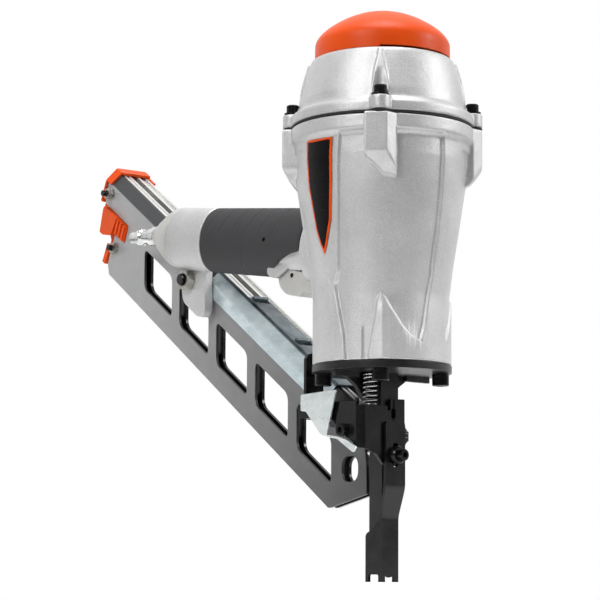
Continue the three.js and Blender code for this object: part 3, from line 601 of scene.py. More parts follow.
def inside_distance(azimuth, z, outline):
    """Signed distance in millimetres from points on the wall to an outline; positive inside."""
    u, v = azimuth * DEGREE, z
    best = np.full(u.shape, 1e9)
    inside = np.zeros(u.shape, bool)
    n = len(outline)
    for i in range(n):
        ax, ay = outline[i][0] * DEGREE, outline[i][1]
        bx, by = outline[(i + 1) % n][0] * DEGREE, outline[(i + 1) % n][1]
        dx, dy = bx - ax, by - ay
        t = np.clip(((u - ax) * dx + (v - ay) * dy) / (dx * dx + dy * dy), 0, 1)
        best = np.minimum(best, np.hypot(u - ax - t * dx, v - ay - t * dy))
        crosses = (ay > v) != (by > v)
        at = ax + (v - ay) * dx / (dy if abs(dy) > 1e-9 else 1e-9)
        inside ^= crosses & (u < at)
    return np.where(inside, best, -best)


def step(d, width):
    """0 to 1 smoothly, over a width with its middle at d = 0."""
    t = np.clip(d / width + 0.5, 0, 1)
    return t * t * (3 - 2 * t)


RECESSES = ((PANEL, 2.0, 1.4), (REAR_PANEL, 1.3, 1.8), (FLANK, 1.1, 2.0), (SHIELD, 0.5, 0.9))


def relief(az, z):
    """How far the wall's pattern lies in or out; az in degrees from the front, towards +X."""
    out = 0
    for outline, depth, edge in RECESSES:
        out = out - depth * step(inside_distance(az, z, outline), edge)
    crest = np.clip(1 - np.abs(az + 43.5) / 6.5, 0, 1)
    out += 1.5 * crest * step(165 - z, 12)
    groove = np.exp(-((az + 59.9) / 0.8) ** 2) * step(152 - z, 1.5)
    mark = step(1.6 - np.abs(az + 88.1) * DEGREE, 0.8) * step(2.2 - np.abs(z - 157.9), 0.8)
    out -= groove + mark
    return out * step(269.3 - z, 1.6) * step(z - 132.2, 0.4)


def with_relief(obj):
    """The housing with its wall moved in and out along the pattern."""
    count = len(obj.data.vertices)
    co = np.empty(count * 3, np.float32)
    obj.data.vertices.foreach_get("co", co)
    co = co.reshape(count, 3).astype(float)
    r = np.hypot(co[:, 0], co[:, 1])
    az = np.degrees(np.arctan2(co[:, 0], -co[:, 1]))
    z = co[:, 2]
    base = np.interp(z, BODY_Z, BODY_R)
    near = np.clip((1.0 - np.abs(r - base)) / 0.5, 0, 1)
    on_wall = (near > 0) & (z > 131) & (z < 270)
    shift = np.zeros(count)
    shift[on_wall] = relief(az[on_wall], z[on_wall]) * near[on_wall]
    co[:, 0] *= 1 + shift / np.maximum(r, 1)
    co[:, 1] *= 1 + shift / np.maximum(r, 1)
    obj.data.vertices.foreach_set("co", co.astype(np.float32).ravel())
    obj.data.update()
    return obj


HANDLE_REAR = Vector((0, 198.8, 234.4))
HANDLE_FRONT = Vector((0, 40, 209))
HANDLE_UP = (HANDLE_REAR - HANDLE_FRONT).normalized().cross(Vector((-1, 0, 0)))
HANDLE_RATIO = 15 / 21            # half width to half height of its oval section


def on_handle(y):
    """The point of the handle's middle line at y."""
    t = (y - HANDLE_FRONT.y) / (HANDLE_REAR.y - HANDLE_FRONT.y)
    return HANDLE_FRONT.lerp(HANDLE_REAR, t)


def oval_point(centre, height, a):
    return (centre + HANDLE_UP * height * math.sin(a)
            + Vector((height * HANDLE_RATIO * math.cos(a), 0, 0)))


def oval_bar(*sections, around=72):
    """A bar of oval section along the handle, through (y, half height) sections."""
    angles = [2 * math.pi * k / around for k in range(around)]
    return tube([oval_point(on_handle(y), height, a) for y, height in sections for a in angles],
                around)


def corner_lug(angle):
    """A bolt lug, with one corner chamfered and its lower edge slanted."""
    profile = [(38, 236), (52.4, 241), (58, 248), (62, 255), (62, 278.7), (38, 278.7)]
    face = soft([(-9.5, 280), (9.8, 280), (9.8, 238), (7.5, 237), (-3, 248), (-9.5, 253)], 3)
    chamfer = placed(block(-7, -7, 230, 7, 7, 290), turn(45), move(64.5, 11.5, 0))
    body = cut(common(front(profile, -9.6, 9.6), side(face, 30, 70)), chamfer)
    if angle in (135, 315):
        placed(body, Matrix.Scale(-1, 4, (0, 1, 0)))
    return placed(body, turn(angle))


TRIGGER_PIN = (0, 77, 195.4)


def housing():
    parts = [corner_lug(angle) for angle in CORNERS]
    parts += [oval_bar((30, 19.6), (198, 18.6)),
              oval_bar((162, 21.4), (163, 21.7), (176, 21.5), (198.8, 21)),
              oval_bar((30, 26.5), (58.3, 24.2))]
    band = soft([(44, 222), (44, 196), (58, 200.2), (68, 201.7), (76, 201), (84.1, 196.9),
                 (89, 194.2), (95.6, 195.9), (98.2, 200.5), (92, 206), (84, 210), (72, 216),
                 (62, 221)], 3)
    parts.append(side(band, -10.5, 10.5))
    lug = soft([(177, 229, 0.1), (196, 229, 0.1), (196, 213), (201.5, 210), (204.6, 205),
                (206.2, 199.5), (203.5, 190.5, 5), (187, 179.4, 4), (180.5, 178, 4),
                (176.8, 181.5, 4)], 3)
    parts.append(placed(side(lug, -14.6, -7.7), YAWED))
    ring = turned([(2.6, -0.4), (3.3, -0.4), (3.3, 0.5), (2.6, 0.5)], 32)
    parts.append(placed(along_x(ring, -14.7, 189.2, 200.5), YAWED))
    shell = turned([(0, 131.9)] + list(zip(BODY_R, BODY_Z)) + [(0, 278.7)], 192)
    shell = join(shell, *parts)
    tools = [turned([(0, 146), (38.5, 146), (38.5, 290), (0, 290)], 96), rod(24.2, 120, 150),
             oval_bar((30, 15.5), (205, 15.5)),
             block(-7.6, 43.9, 170, 7.6, 91.6, 203), placed(rod(7.3, 195, 226), move(0, 62, 0)),
             along_x(rod(1.8, -20, 20), *TRIGGER_PIN),
             placed(along_x(rod(4.5, -30, 10), 0, 195.5, 205), YAWED),
             placed(along_x(rod(8.4, -30, -14.6), 0, 195.5, 205), YAWED)]
    for angle in CORNERS:
        tools.append(round_axis(rod(2.9, 253, 290), CAP_BOLT_CIRCLE, angle))
        tools.append(round_axis(rod(2.9, 120, 143), NOSE_BOLT_CIRCLE, angle))
    body = with_relief(cast(cut(shell, *tools), 0.65, 3, 1))
    m = body.modifiers.new("d", "DECIMATE")
    m.ratio = 0.35
    return applied(body)


def shell_patch(lift, inset):
    """A film that lies on the wall inside the label's outline, drawn in by inset."""
    azs = np.linspace(-106, -73, 133)
    zs = np.linspace(192, 269, 309)
    grid_a, grid_z = np.meshgrid(azs, zs)
    keep = inside_distance(grid_a, grid_z, SHIELD) - inset > 0
    base = np.interp(grid_z, BODY_Z[:7], BODY_R[:7]) - 0.5 + lift
    verts, faces, index = [], [], {}
    for layer, offset in ((0, 0.35), (1, 0.0)):
        for i in range(len(zs)):
            for j in range(len(azs)):
                a = math.radians(azs[j])
                r = base[i, j] + offset
                index[layer, i, j] = len(verts)
                verts.append((r * math.sin(a), -r * math.cos(a), zs[i]))
    inside = {(i, j) for i in range(len(zs) - 1) for j in range(len(azs) - 1)
              if keep[i:i + 2, j:j + 2].all()}
    for i, j in inside:
        corners = ((i, j), (i, j + 1), (i + 1, j + 1), (i + 1, j))
        faces.append([index[(0, *c)] for c in corners])
        faces.append([index[(1, *c)] for c in corners][::-1])
        for k, (di, dj) in enumerate(((-1, 0), (0, 1), (1, 0), (0, -1))):
            if (i + di, j + dj) not in inside:
                p, q = corners[k], corners[(k + 1) % 4]
                faces.append([index[(0, *q)], index[(0, *p)], index[(1, *p)], index[(1, *q)]])
    obj = make(verts, faces)
    bm = bmesh.new()
    bm.from_mesh(obj.data)
    bmesh.ops.delete(bm, geom=[v for v in bm.verts if not v.link_faces], context="VERTS")
    bm.to_mesh(obj.data)
    bm.free()
    return obj


# ---- handle ----
GRIP_FRONT, GRIP_REAR = 59, 161.4


def grip():
    """The rubber sleeve: six curved grooves over its top and one shallow flute below."""
    around = 96
    verts = []
    for y in np.linspace(GRIP_FRONT, GRIP_REAR, 206):
        t = (y - GRIP_FRONT) / (GRIP_REAR - GRIP_FRONT)
        centre = on_handle(y) + Vector((0, 0, 1.2 * (1 - t)))
        half = 24.4 + (21.9 - 24.4) * t
        end = min(y - GRIP_FRONT, GRIP_REAR - y)
        half -= 0.9 * max(0, 1 - end / 1.6) ** 2
        for k in range(around):
            a = 2 * math.pi * k / around
            height = math.sin(a)
            bend = 6.5 * (1 - max(height, 0)) ** 1.6
            depth = sum(math.exp(-((y - 82.5 - 13.6 * g - bend) / 0.75) ** 2) for g in range(6))
            depth *= 0.75 * min(max((height - 0.12) / 0.35, 0), 1)
            flute = math.exp(-((y - 117 + 10 * (height + 0.55)) / 1.0) ** 2)
            depth += 0.35 * flute * min(max((-height + 0.1) / 0.3, 0), 1)
            h = half - depth - 2.2 * (1 - t) * max(-height, 0)
            verts.append(oval_point(centre, h, a))
    body = tube(verts, around)
    below = side(soft([(50, 212.5, 0.1), (55.8, 210.7), (61.4, 208.9), (71, 208.1), (84, 204.6),
                       (93, 199.5), (98, 194), (98, 170, 0.1), (50, 170, 0.1)], 6), -30, 30)
    band = side([(44, 223), (44, 190), (95.9, 190), (98.6, 200.6), (92.1, 206.4), (84.1, 210.4),
                 (72.1, 216.4), (62.1, 221.4)], -10.8, 10.8)
    hole = along_x(rod(1.5, -30, -12, 24), 0, 93.5, 219.5)
    return cut(body, below, band, hole, oval_bar((30, 19.9), (200, 18.9)))


PLUG = move(0, 212, 237.6) @ turn(-86, "X")
WIDER = Matrix.Scale(1.39, 4, (0, 1, 0))


def handle_end_cap():
    dome = turned([(0, 0), (14.9, 0), (14.95, 1.5), (14.5, 4.5), (13.2, 8.6), (11.2, 13.5),
                   (9.2, 18), (7.9, 21.5), (7.6, 23.6), (7.2, 24.8), (0, 24.8)], 96)
    dome = common(placed(dome, WIDER), rod(30, -1, 20.5, 32))
    dome = cut(join(dome, rod(7.8, 9, 25, 64)), placed(rod(9, -1, 9), WIDER))
    body = placed(dome, turn(-90 + 9.1, "X"), move(0, 199.1, 234.4))
    return cast(cut(body, placed(rod(6.5, -8, 20), PLUG)), 0.6, 3, 0.6)


def air_plug():
    profile = [(3.1, 0), (6.1, 0), (6.1, 12.6), (6.9, 12.8), (6.9, 17.2), (6.2, 17.6), (6.2, 21.4),
               (5.4, 22.4), (4.5, 23.6), (4.4, 28.6), (4.9, 29.6), (5.8, 30.8), (5.8, 34.4),
               (4.9, 35.6), (4.6, 36.4), (4.6, 42.0), (4.3, 42.6), (3.1, 42.6)]
    hexagon = cut(rod(7.2, 12.9, 17.1, 6), rod(3.6, 10, 20))
    return placed(bevelled(join(turned(profile, 64), hexagon), 0.2), PLUG)


def trigger():
    shape = soft([(50, 196.5, 1.5), (50, 185.4, 3.5), (58, 181.2, 3), (65, 183.6, 3),
                  (70, 180.9, 2.5), (83, 183.4, 5), (89.8, 190.5, 4), (90, 200, 3),
                  (78, 201.5), (70, 197)], 3)
    body = side(shape, -7, 7)
    body = cut(body, block(-4.6, 46, 188, 4.6, 74, 210), along_x(rod(1.6, -20, 20), *TRIGGER_PIN))
    return cast(body, 0.45, 2, 0.5)


# ---- nose and work contact ----
CONTACT_SPRING = move(-12.5, -2.8, 0)
DEPTH_SCREW = (0, 0, 76.5)
SIDE_SCREW = (0, 3.6, 91.2)


def nose_casting():
    flange = bevelled(turned([(0, 127), (43, 127), (43, 131.6), (0, 131.6)], 96), 0.4, 2)
    parts = [block(-7.2, -7, 98, 7.2, 8.6, 127.5), block(-4.6, -5, 30, 4.6, 6.1, 99)]
    web = ((5, 127.5), (30, 127.5), (17, 119), (9, 109), (6.5, 103), (5, 103))
    for s in (-1, 1):
        parts.append(front([(s * x, z) for x, z in web], 4.2, 7.6))
    parts.append(placed(rod(2.8, 118, 128), CONTACT_SPRING))
    for angle in (180, 0):
        parts.append(placed(block(20, -1.4, 123.6, 40, 1.4, 127.4), turn(angle)))
    body = join(flange, *parts)
    tools = [rod(3.8, 20, 140), block(-2.4, 0, 10, 2.4, 12, 110),
             block(-7.3, -8, 104, -5.4, 9, 107)]
    for angle in CORNERS:
        tools.append(round_axis(rod(2.9, 110, 140), NOSE_BOLT_CIRCLE, angle))
    return bevelled(cut(body, *tools), 0.3)


def guide_knob():
    body = join(rod(7, 10.6, 14.4, 64), rod(5.6, 14, 16.8, 6), rod(2.5, 4.9, 11))
    notches = [round_axis(rod(0.5, 10, 15, 8), 7.1, 12 * k) for k in range(30)]
    return bevelled(along_x(cut(body, *notches), 0, -1.5, 89), 0.25)


def contact_tip():
    profile = soft([(-12.2, 98, 0.1), (-12.2, 57, 2.5), (-7.8, 39.5, 2.5), (-7.8, 0, 0.1),
                    (7.2, 0, 0.1), (7.2, 29, 2), (2, 31.5, 4), (-3, 36, 4), (-6, 41, 6),
                    (-10.3, 58.2, 6), (-10.3, 98, 0.1)], 1, 8)
    face = soft([(-8.2, 97.5, 3), (8.2, 97.5, 3), (8.2, 55, 6), (6.7, 40, 6), (6.7, 0, 0.3),
                 (-6.7, 0, 0.3), (-6.7, 40, 6), (-8.2, 55, 6)], 1, 8)
    body = bevelled(common(side(profile, -8.2, 8.2), front(face, -13, 8)), 1.2, 4, 40)
    tools = [block(-4.9, -6, -1, 4.9, 9, 60),
             front(soft([(-2.4, 69.4), (2.4, 69.4), (2.4, 84), (-2.4, 84)], 2.3), -14, -9),
             front(soft([(-4.4, -2), (-4.4, 4.2), (-1.2, 2.6), (1.4, 3.2), (3, 4.0), (3, -2)],
                        0.8), -9, -5),
             side(soft([(-4, -2), (-4, 4.5), (4.5, 4.5), (4.5, -2)], 1.2), -9, 9)]
    return bevelled(cut(body, *tools), 0.25, 2, 40)


def contact_bracket():
    """A bent sheet: a front face, a flank, and a narrow strip that runs up behind the nose."""
    t = 2.4
    steps = [math.pi * (0.5 + 0.5 * k / 10) for k in range(11)]
    outer, inner = ([(-22.7 + r * math.cos(a), -5.4 - r * math.sin(a)) for a in steps]
                    for r in (4.6, 4.6 - t))
    bend = ([(9.8, -10)] + outer + [(-27.3, 44.6), (-27.3 + t, 44.6)] + inner[::-1]
            + [(9.8, -10 + t)])
    face = soft([(-40, 106.3), (-21.6, 106.3, 0.2), (-20.6, 103.4), (-19.4, 103.4),
                 (-18.4, 106.3, 0.3), (-4.8, 106.6), (-4.6, 103.6), (-2.2, 103.6),
                 (-1.9, 110.8, 0.6), (9.8, 111.2, 0.8), (9.8, 70, 2), (-7.5, 70, 2), (-14, 77, 2),
                 (-23, 80.3, 3), (-40, 80.3)], 1)
    flank = soft([(-11, 81), (-7.4, 81.2, 2), (-0.4, 85.3, 2), (9.6, 90.1, 3), (13.3, 97.6, 3),
                  (20, 100, 2), (44.6, 100), (44.6, 109), (11.2, 109, 0.5), (-3.8, 108.3, 1),
                  (-7.3, 112), (-11, 112)], 0.4)
    plate, left, corner = (prism(bend, 68, 111.2) for _ in range(3))
    common(plate, front(face, -11, -4))
    common(left, side(flank, -28, -21), block(-28, -6, 60, -21, 50, 120))
    common(corner, block(-28, -11, 80.8, -19, -3.5, 106.3))
    strip = front([(-27.3, 100), (-8, 100), (-8, 139), (-2, 142), (-2, 181.5), (-7.2, 181.5),
                   (-7.2, 144), (-20.5, 141), (-22.6, 138), (-22.6, 109), (-27.3, 109)], 44.6, 46.8)
    seat = block(-17.5, -8, 103.5, -7.9, 1.6, 105.5)
    pad = front(soft([(0.6, 92), (9.2, 92), (9.2, 110.4), (0.6, 110.4)], 1), -10.6, -9)
    body = join(plate, left, corner, strip, seat, pad)
    tools = [along_y(rod(2.5, -20, 0), *DEPTH_SCREW),
             front(soft([(-1.6, 99), (1.6, 99), (1.6, 105), (-1.6, 105)], 1.4), -12, -6),
             along_x(rod(2.6, -30, -20), *SIDE_SCREW)]
    return bevelled(cut(body, *tools), 0.5, 3, 30)


def depth_screw():
    head = turned([(0, 16.6), (3.6, 16.6), (3.6, 20.1), (3.1, 20.6), (0, 20.6)], 40)
    head = cut(join(head, rod(2.1, 6.2, 17)), rod(1.9, 18.2, 22, 6))
    return along_y(placed(head, FLIP_Z), *DEPTH_SCREW)


def depth_collar():
    ring = turned([(2.5, 12.5), (5.4, 12.5), (5.6, 12.8), (5.6, 15), (4.6, 16.4), (2.5, 16.4)], 48)
    return along_y(placed(ring, FLIP_Z), *DEPTH_SCREW)


def guard_plate():
    shape = soft([(40.8, 114.6), (8.4, 116), (16.6, 88.8), (6.9, 87.3), (-0.8, 85.1),
                  (-9.7, 80.6), (-7, 77), (7.5, 85.9), (16.4, 87.4), (22.5, 89.4),
                  (35.9, 103.9), (40.7, 104.6)], 1)
    stay = [(22, 94), (25, 94.5), (27.5, 99), (22, 99)]
    return bevelled(join(side(shape, -30.6, -29.4), side(stay, -30.6, -7.2)), 0.2)


def side_screw():
    head = turned([(0, -31.8), (3.6, -31.8), (4, -31.3), (4, -27.6), (0, -27.6)], 40)
    body = cut(join(head, rod(2.2, -28, -24.6)), rod(2.1, -33, -30, 6))
    return along_x(body, *SIDE_SCREW)


# ---- magazine ----
# Drawn in its own frame: x across, s along it from the front, p up from its bottom edge.
SIN, COS = math.sin(PITCH), math.cos(PITCH)
UPPER_BOLT = (0, 413, 52)
LOWER_BOLT = (0, 386.3, 20.4)
LUG_BOLT = (0, 268.5, 53)
RAIL_END = 420.6


def along_at(y, p):
    """The s at which a line at height p passes y, so that edges through it stand upright."""
    return (y + p * SIN) / COS


def from_yz(y, z):
    up = z - MAG_LIFT
    return (y * COS + up * SIN, up * COS - y * SIN)


PLATE = [(58.7, 0), (384, 0), (390, 6), (393, 29), (377, 29), (379.5, 42), (418, 42), (421, 44.5),
         (421, 80), (along_at(11, 80), 80), (30.2, 28)]


def windows():
    low, high = 13.6, 38.2
    cutters = []
    for k in range(5):
        y0 = 46.3 + 47.02 * k
        y1 = y0 + 37.5
        cutters.append(side(soft([(along_at(y0, low), low), (along_at(y1, low), low),
                                  (along_at(y1, high), high), (along_at(y0, high), high)],
                                 5.5, 8), -20, 20))
    cutters.append(side(soft([from_yz(18.5, 61.5), from_yz(35.5, 61.5), from_yz(35.5, 77.5),
                              from_yz(18.5, 77.5)], 7.5, 8), -20, 20))
    return cutters


def bolt_holes():
    return [along_x(rod(2.5, -30, 40), *place) for place in (UPPER_BOLT, LOWER_BOLT)]


def plate_near():
    section = soft([(-4, 0, 0.3), (-4, 42, 3), (-6, 58.5, 1.5), (-0.8, 66.8, 0.2), (0.5, 65.6, 0.2),
                    (-4, 57.8, 1.5), (-2, 42, 3), (-2, 0, 0.3)], 1)
    body = common(front(section, 0, 460), side(soft(PLATE, 1.5), -20, 20))
    body = cut(body, *windows(), *bolt_holes(), along_x(rod(4.5, -30, 0), *LUG_BOLT))
    return placed(bevelled(body, 0.35, 2, 30), MAG)


def plate_far():
    body = common(side(soft(PLATE, 1.5), 2, 4), block(0, 0, -1, 10, 420.5, 44.2))
    return placed(bevelled(cut(body, *windows(), *bolt_holes()), 0.3, 2, 30), MAG)


def outer_rail():
    section = [(4.4, 44.6), (21.5, 44.6), (21.5, 67), (19.4, 67), (19.4, 65.6), (15.2, 65.6),
               (15.2, 67), (12.7, 67), (12.7, 46.4), (4.4, 46.4)]
    return placed(bevelled(cut(front(section, 52, RAIL_END), *bolt_holes()), 0.3), MAG)


def inner_rail():
    body = cut(block(1.2, 58, 60.6, 7.3, RAIL_END, 67), block(3.4, 40, 66.2, 5.2, 440, 68))
    return placed(bevelled(body, 0.3), MAG)


def channel_cover():
    section = soft([(-7.3, 51, 0.1), (-7.3, 59.3, 1.5), (-1.7, 68.5, 2), (15, 68.5, 0.1),
                    (15, 67.4, 0.1), (-1.1, 67.4, 1.2), (-6.3, 59, 1), (-6.2, 51, 0.1)], 1)
    rear = block(-1.2, 215.8, 60, 20, 260, 80)
    taper = prism([(12.6, 260), (15.6, 90), (20, 90), (20, 260)], 60, 80)
    body = cut(front(section, 96, 256), rear, taper)
    ridges = []
    for s in (213, 154):
        arch = soft([(s - 1.5, 68), (s - 1.3, 70.6), (s + 1.3, 70.6), (s + 1.5, 68)], 0.9)
        ridges.append(side(arch, 0.5, 12))
        body = cut(body, block(0.5, s - 5.2, 60, 12, s - 1.6, 80))
    return placed(bevelled(join(body, *ridges), 0.2), MAG)


SPRING_ROLL = (0, 367, 53.6)


def follower():
    body = join(block(-1.6, 352, 5, 1.6, 373, 47.2), block(-1.1, 352, 46.9, 12.2, 376, 60.2),
                block(7.7, 352, 60, 12.2, 376, 66.6))
    return placed(bevelled(cut(body, along_x(rod(5.9, 3, 20), *SPRING_ROLL)), 0.3), MAG)


def spring_roll():
    rings = [turned([(r, 4.2), (r + 0.6, 4.2), (r + 0.6, 11.8), (r, 11.8)], 48)
             for r in (2.2, 3.1, 4.0, 4.9)]
    core = turned([(2.0, 5), (5.2, 5), (5.2, 11), (2.0, 11)], 48)
    return placed(along_x(join(core, *rings), *SPRING_ROLL), MAG)


def rear_cap():
    rim = [(-6.4, 41.8), (-7.6, 58.9), (-1.7, 69.2), (23.4, 69.2), (23.4, 60), (21.8, 60)]
    wall = front(soft(rim + [(21.8, 41.8)], 1.2), 421.4, 423)
    strap = front(soft(rim[1:] + [(21.8, 67.4), (-1, 67.4), (-6.5, 58.4)], 0.5), 415, 422)
    parts = [wall, strap, block(21.8, 405, 60, 23.4, 422, 67.6),
             side(soft([(393.8, 4), (397.6, 4), (399.5, 21), (423, 37.4), (423, 46), (421.4, 46),
                        (421.4, 41.6), (395, 41.6), (393.8, 29.6)], 0.6), -1.5, 4.2),
             side([(393.8, 4), (397.6, 4), (399, 18.5), (393.8, 18.5)], -4.4, -1)]
    return placed(bevelled(join(*parts), 0.45, 3), MAG)


def latch():
    parts = [side(soft([(393.6, 27.5), (404.5, 22.5), (409.5, 22.5), (414.5, 38), (414.5, 41.2),
                        (393.6, 41.2)], 1), -7.4, -1.9),
             side(soft([(377.9, 29.5), (395, 29.5), (395, 41.2), (380.1, 41.2)], 0.5), -4.6, -1.9)]
    for s in (378.6, 383.6, 388.6):
        parts.append(side([(s, 30), (s + 2.4, 30), (s + 4.4, 40.8), (s + 2, 40.8)], -6.8, -4))
    return placed(bevelled(join(*parts), 0.6, 3), MAG)


def cross_bolt(place, tip, head):
    top = turned([(0, head), (3.6, head), (3.6, head + 2.6), (3.2, head + 3), (0, head + 3)], 32)
    body = cut(join(top, rod(2.1, tip, head + 0.2, 32)), rod(1.6, head + 1.4, head + 4, 6))
    return placed(along_x(body, *place), MAG)


def hex_nut(place, x, radius, hole, height):
    body = rod(radius, x - height, x, 6)
    cone = turned([(0, x - height - 0.01), (radius * 0.88, x - height - 0.01),
                   (radius * 1.02, x - height + 1.1), (radius * 1.02, x + 1), (0, x + 1)], 48)
    body = cut(common(body, cone), rod(hole, x - height - 1, x + 1))
    return placed(along_x(body, *place), MAG)


def lug_stud():
    shank = join(rod(4, -22.4, -1.8), turned([(0, -23), (3.4, -23), (4, -22.4), (0, -22.3)], 48),
                 rod(5.5, -2.3, -1.6))
    rings = [turned([(3.6, z), (4.3, z - 0.01), (4.3, z + 0.35), (3.6, z + 0.36)], 32)
             for z in (-22.0, -21.2)]
    return placed(along_x(cut(shank, *rings), *LUG_BOLT), MAG)


# ---- pieces ----
piece("vis_exhaust_cover", exhaust_cover(), ORANGE, "exhaust_cover")
screw = cut(join(rod(4.7, 350.7, 353.8), rod(2.2, 318.5, 350.8)), rod(2, 351.6, 355, 6))
piece("vis_exhaust_screw", bevelled(screw, 0.3), BLACK_BOLT, "exhaust_cover_screw")
piece("vis_cylinder_cap", cylinder_cap(), ALU, "cylinder_cap", crease=SMOOTH)
piece("vis_cap_gasket", gasket(), SEAL, "cap_gasket")
piece("vis_housing", housing(), ALU, "housing", crease=SMOOTH)
piece("vis_label_border", shell_patch(0.35, 0.55), ORANGE, "label_panel")
piece("vis_label_field", shell_patch(0.62, 1.9), LABEL, body="tool")
piece("vis_nose_casting", nose_casting(), BLACK_CAST, "nose_casting")
piece("vis_guide_knob", guide_knob(), BLACK_BOLT, "guide_knob")
for number, angle in enumerate(CORNERS, 1):
    screw = round_axis(socket_screw(4, 295.5, 5.1, 5.4, 250), CAP_BOLT_CIRCLE, angle)
    piece(f"vis_cap_bolt_{number}", screw, BLACK_BOLT, f"cap_bolt_{number}")
    screw = placed(socket_screw(5.2, 0, 6.2, 5.25, -20), FLIP_Z,
                   move(NOSE_BOLT_CIRCLE, 0, 119.4), turn(angle))
    piece(f"vis_nose_bolt_{number}", screw, BLACK_BOLT, f"nose_bolt_{number}")
piece("vis_contact_tip", contact_tip(), BLACK, "contact_tip")
piece("vis_contact_bracket", contact_bracket(), BLACK, "contact_bracket")
for node, joint, travel, shape, place in (
        ("contact_spring", "contact_lift", 9, (4.1, 0.6, 8, 105.8, 126.7), CONTACT_SPRING),
        ("head_valve_spring", "head_valve_lift", 6, (24, 1.3, 4, 290.3, 314.7, 64), move(0, 0, 0))):
    spring = piece("vis_" + node, placed(coil(*shape), place), STEEL, node, body="tool")
    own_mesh(spring)
piece("vis_depth_screw", depth_screw(), BLACK_BOLT, "depth_screw")
piece("vis_depth_collar", depth_collar(), BLACK_BOLT, "depth_collar")
piece("vis_guard_plate", guard_plate(), ZINC_BRIGHT, "guard_plate")
piece("vis_side_screw", side_screw(), BLACK_BOLT, "bracket_side_screw")
piece("vis_trigger", trigger(), ALU_SMOOTH, "trigger", crease=SMOOTH)
piece("vis_trigger_pin", along_x(bevelled(rod(1.4, -6.9, 6.9), 0.3), *TRIGGER_PIN), BLACK_BOLT,
      "trigger_pin")
piece("vis_grip", grip(), RUBBER, "grip", crease=50)
piece("vis_handle_end_cap", handle_end_cap(), ALU_SMOOTH, "handle_end_cap", crease=SMOOTH)
piece("vis_air_plug", air_plug(), PLUG_ZINC, "air_plug")
piece("vis_plate_near", plate_near(), SHEET, "magazine_plate_near")
piece("vis_plate_far", plate_far(), BLACK, "magazine_plate_far")
piece("vis_inner_rail", inner_rail(), RAIL, "magazine_inner_rail")
piece("vis_outer_rail", outer_rail(), RAIL, "magazine_outer_rail")
piece("vis_channel_cover", channel_cover(), ZINC, "channel_cover")
piece("vis_follower", follower(), DARK_PLASTIC, "follower")
piece("vis_follower_spring", spring_roll(), STEEL, "follower_spring")
piece("vis_rear_cap", rear_cap(), ORANGE, "magazine_rear_cap")
piece("vis_latch", latch(), ORANGE, "magazine_latch")
piece("vis_rear_bolt_upper", cross_bolt(UPPER_BOLT, -13.5, 21.8), BLACK_BOLT, "rear_bolt_upper")
piece("vis_rear_bolt_lower", cross_bolt(LOWER_BOLT, -11, 4.3), BLACK_BOLT, "rear_bolt_lower")
piece("vis_rear_nut_upper", hex_nut(UPPER_BOLT, -6.4, 4.4, 2.4, 3.6), NUT_ZINC, "rear_nut_upper")
piece("vis_rear_nut_lower", hex_nut(LOWER_BOLT, -4.3, 4.4, 2.4, 3.6), NUT_ZINC, "rear_nut_lower")
piece("vis_lug_bolt", lug_stud(), BLACK_BOLT, "lug_bolt")
piece("vis_lug_nut", hex_nut(LUG_BOLT, -15, 7.4, 4.5, 5.6), NUT_ZINC, "lug_nut")

for entry in RECORD["subparts"]:
    materials = frame["nodes"][entry["node"]].data.materials
    materials.clear()
    materials.append(SLOT_LOOK[entry["material_slot"]])

# ---- studio ----
bm = bmesh.new()
bmesh.ops.create_grid(bm, x_segments=8, y_segments=8, size=0.6)
floor_mesh = bpy.data.meshes.new("floor")
bm.to_mesh(floor_mesh)
bm.free()
floor = bpy.data.objects.new("floor", floor_mesh)
floor.location.z = -0.0006
bpy.context.scene.collection.objects.link(floor)
paper = Nodes("pale_paper")
pale = paper.ramp(paper.noise(3, 3), 0.3, 0.7, (0.90, 0.90, 0.90), (0.93, 0.93, 0.93))
floor_mesh.materials.append(paper.out(Base_Color=pale, Roughness=0.9))

FORWARD = Vector((0.6631, 0.7485, 0))              # the way the camera looks, seen from above
world = bpy.data.worlds.new("studio")
bpy.context.scene.world = world
world.use_nodes = True
tree = world.node_tree
back = tree.nodes["Background"]
coord = tree.nodes.new("ShaderNodeTexCoord")


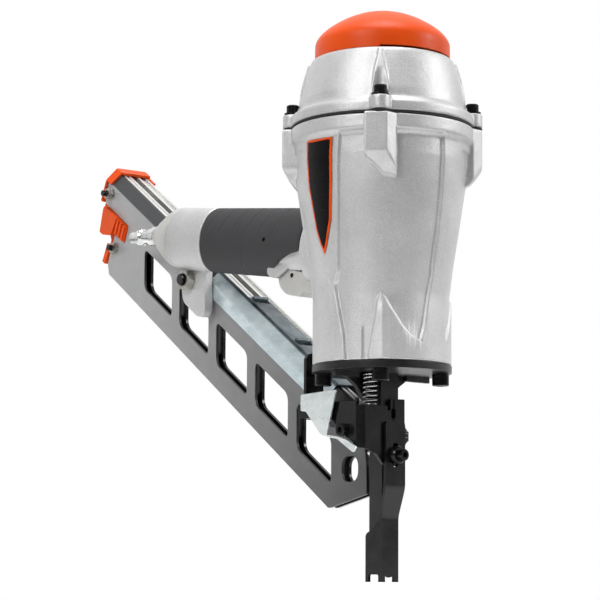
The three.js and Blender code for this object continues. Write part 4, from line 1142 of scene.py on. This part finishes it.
def sky_level(direction, low, high, a, b):
    """World brightness going from a to b between two heights along a direction."""
    dot = tree.nodes.new("ShaderNodeVectorMath")
    dot.operation = "DOT_PRODUCT"
    dot.inputs[1].default_value = direction
    level = tree.nodes.new("ShaderNodeMapRange")
    level.interpolation_type = "SMOOTHSTEP"
    for key, value in (("From Min", low), ("From Max", high), ("To Min", a), ("To Max", b)):
        level.inputs[key].default_value = value
    tree.links.new(coord.outputs["Generated"], dot.inputs[0])
    tree.links.new(dot.outputs["Value"], level.inputs["Value"])
    return level.outputs[0]


product = tree.nodes.new("ShaderNodeMath")
product.operation = "MULTIPLY"
tree.links.new(sky_level(FORWARD, -0.55, 0.62, 0.16, 1.0), product.inputs[0])
tree.links.new(sky_level(Vector((0, 0, 1)), -0.25, -0.02, 0.12, 1.0), product.inputs[1])
tree.links.new(product.outputs[0], back.inputs["Strength"])
back.inputs["Color"].default_value = (1, 1, 1, 1)


def area_light(name, place, target, size, power):
    data = bpy.data.lights.new(name, "AREA")
    data.shape, data.size, data.energy = "SQUARE", size, power
    lamp = bpy.data.objects.new(name, data)
    bpy.context.scene.collection.objects.link(lamp)
    lamp.location = place
    lamp.rotation_euler = (Vector(target) - Vector(place)).to_track_quat("-Z", "Y").to_euler()


area_light("key", (-1.7, -0.5, 1.3), (0, -0.05, 0.18), 0.7, 22)
area_light("right", (1.1, -1.3, 1.0), (0, -0.1, 0.2), 0.5, 13)
area_light("top", (-0.1, -0.3, 2.0), (0, -0.05, 0.2), 0.9, 26)

FOCAL_PIXELS, PHOTO_PIXELS = 2163.7, 600
camera_data = bpy.data.cameras.new("camera")
camera = bpy.data.objects.new("camera", camera_data)
bpy.context.scene.collection.objects.link(camera)
bpy.context.scene.camera = camera
camera_data.sensor_width = 36
camera_data.lens = FOCAL_PIXELS / PHOTO_PIXELS * camera_data.sensor_width
camera_data.clip_start, camera_data.clip_end = 0.05, 50
camera.location = (-0.9169, -0.9586 + AXIS_Y / 1000, 0.0003)
tilt = math.radians(7.40)
aim = FORWARD * math.cos(tilt) + Vector((0, 0, math.sin(tilt)))
look_at = aim.to_track_quat("-Z", "Y").to_matrix().to_4x4()
camera.rotation_euler = (look_at @ Matrix.Rotation(math.radians(0.39), 4, "Z")).to_euler()

bpy.context.scene.view_settings.view_transform = "Standard"
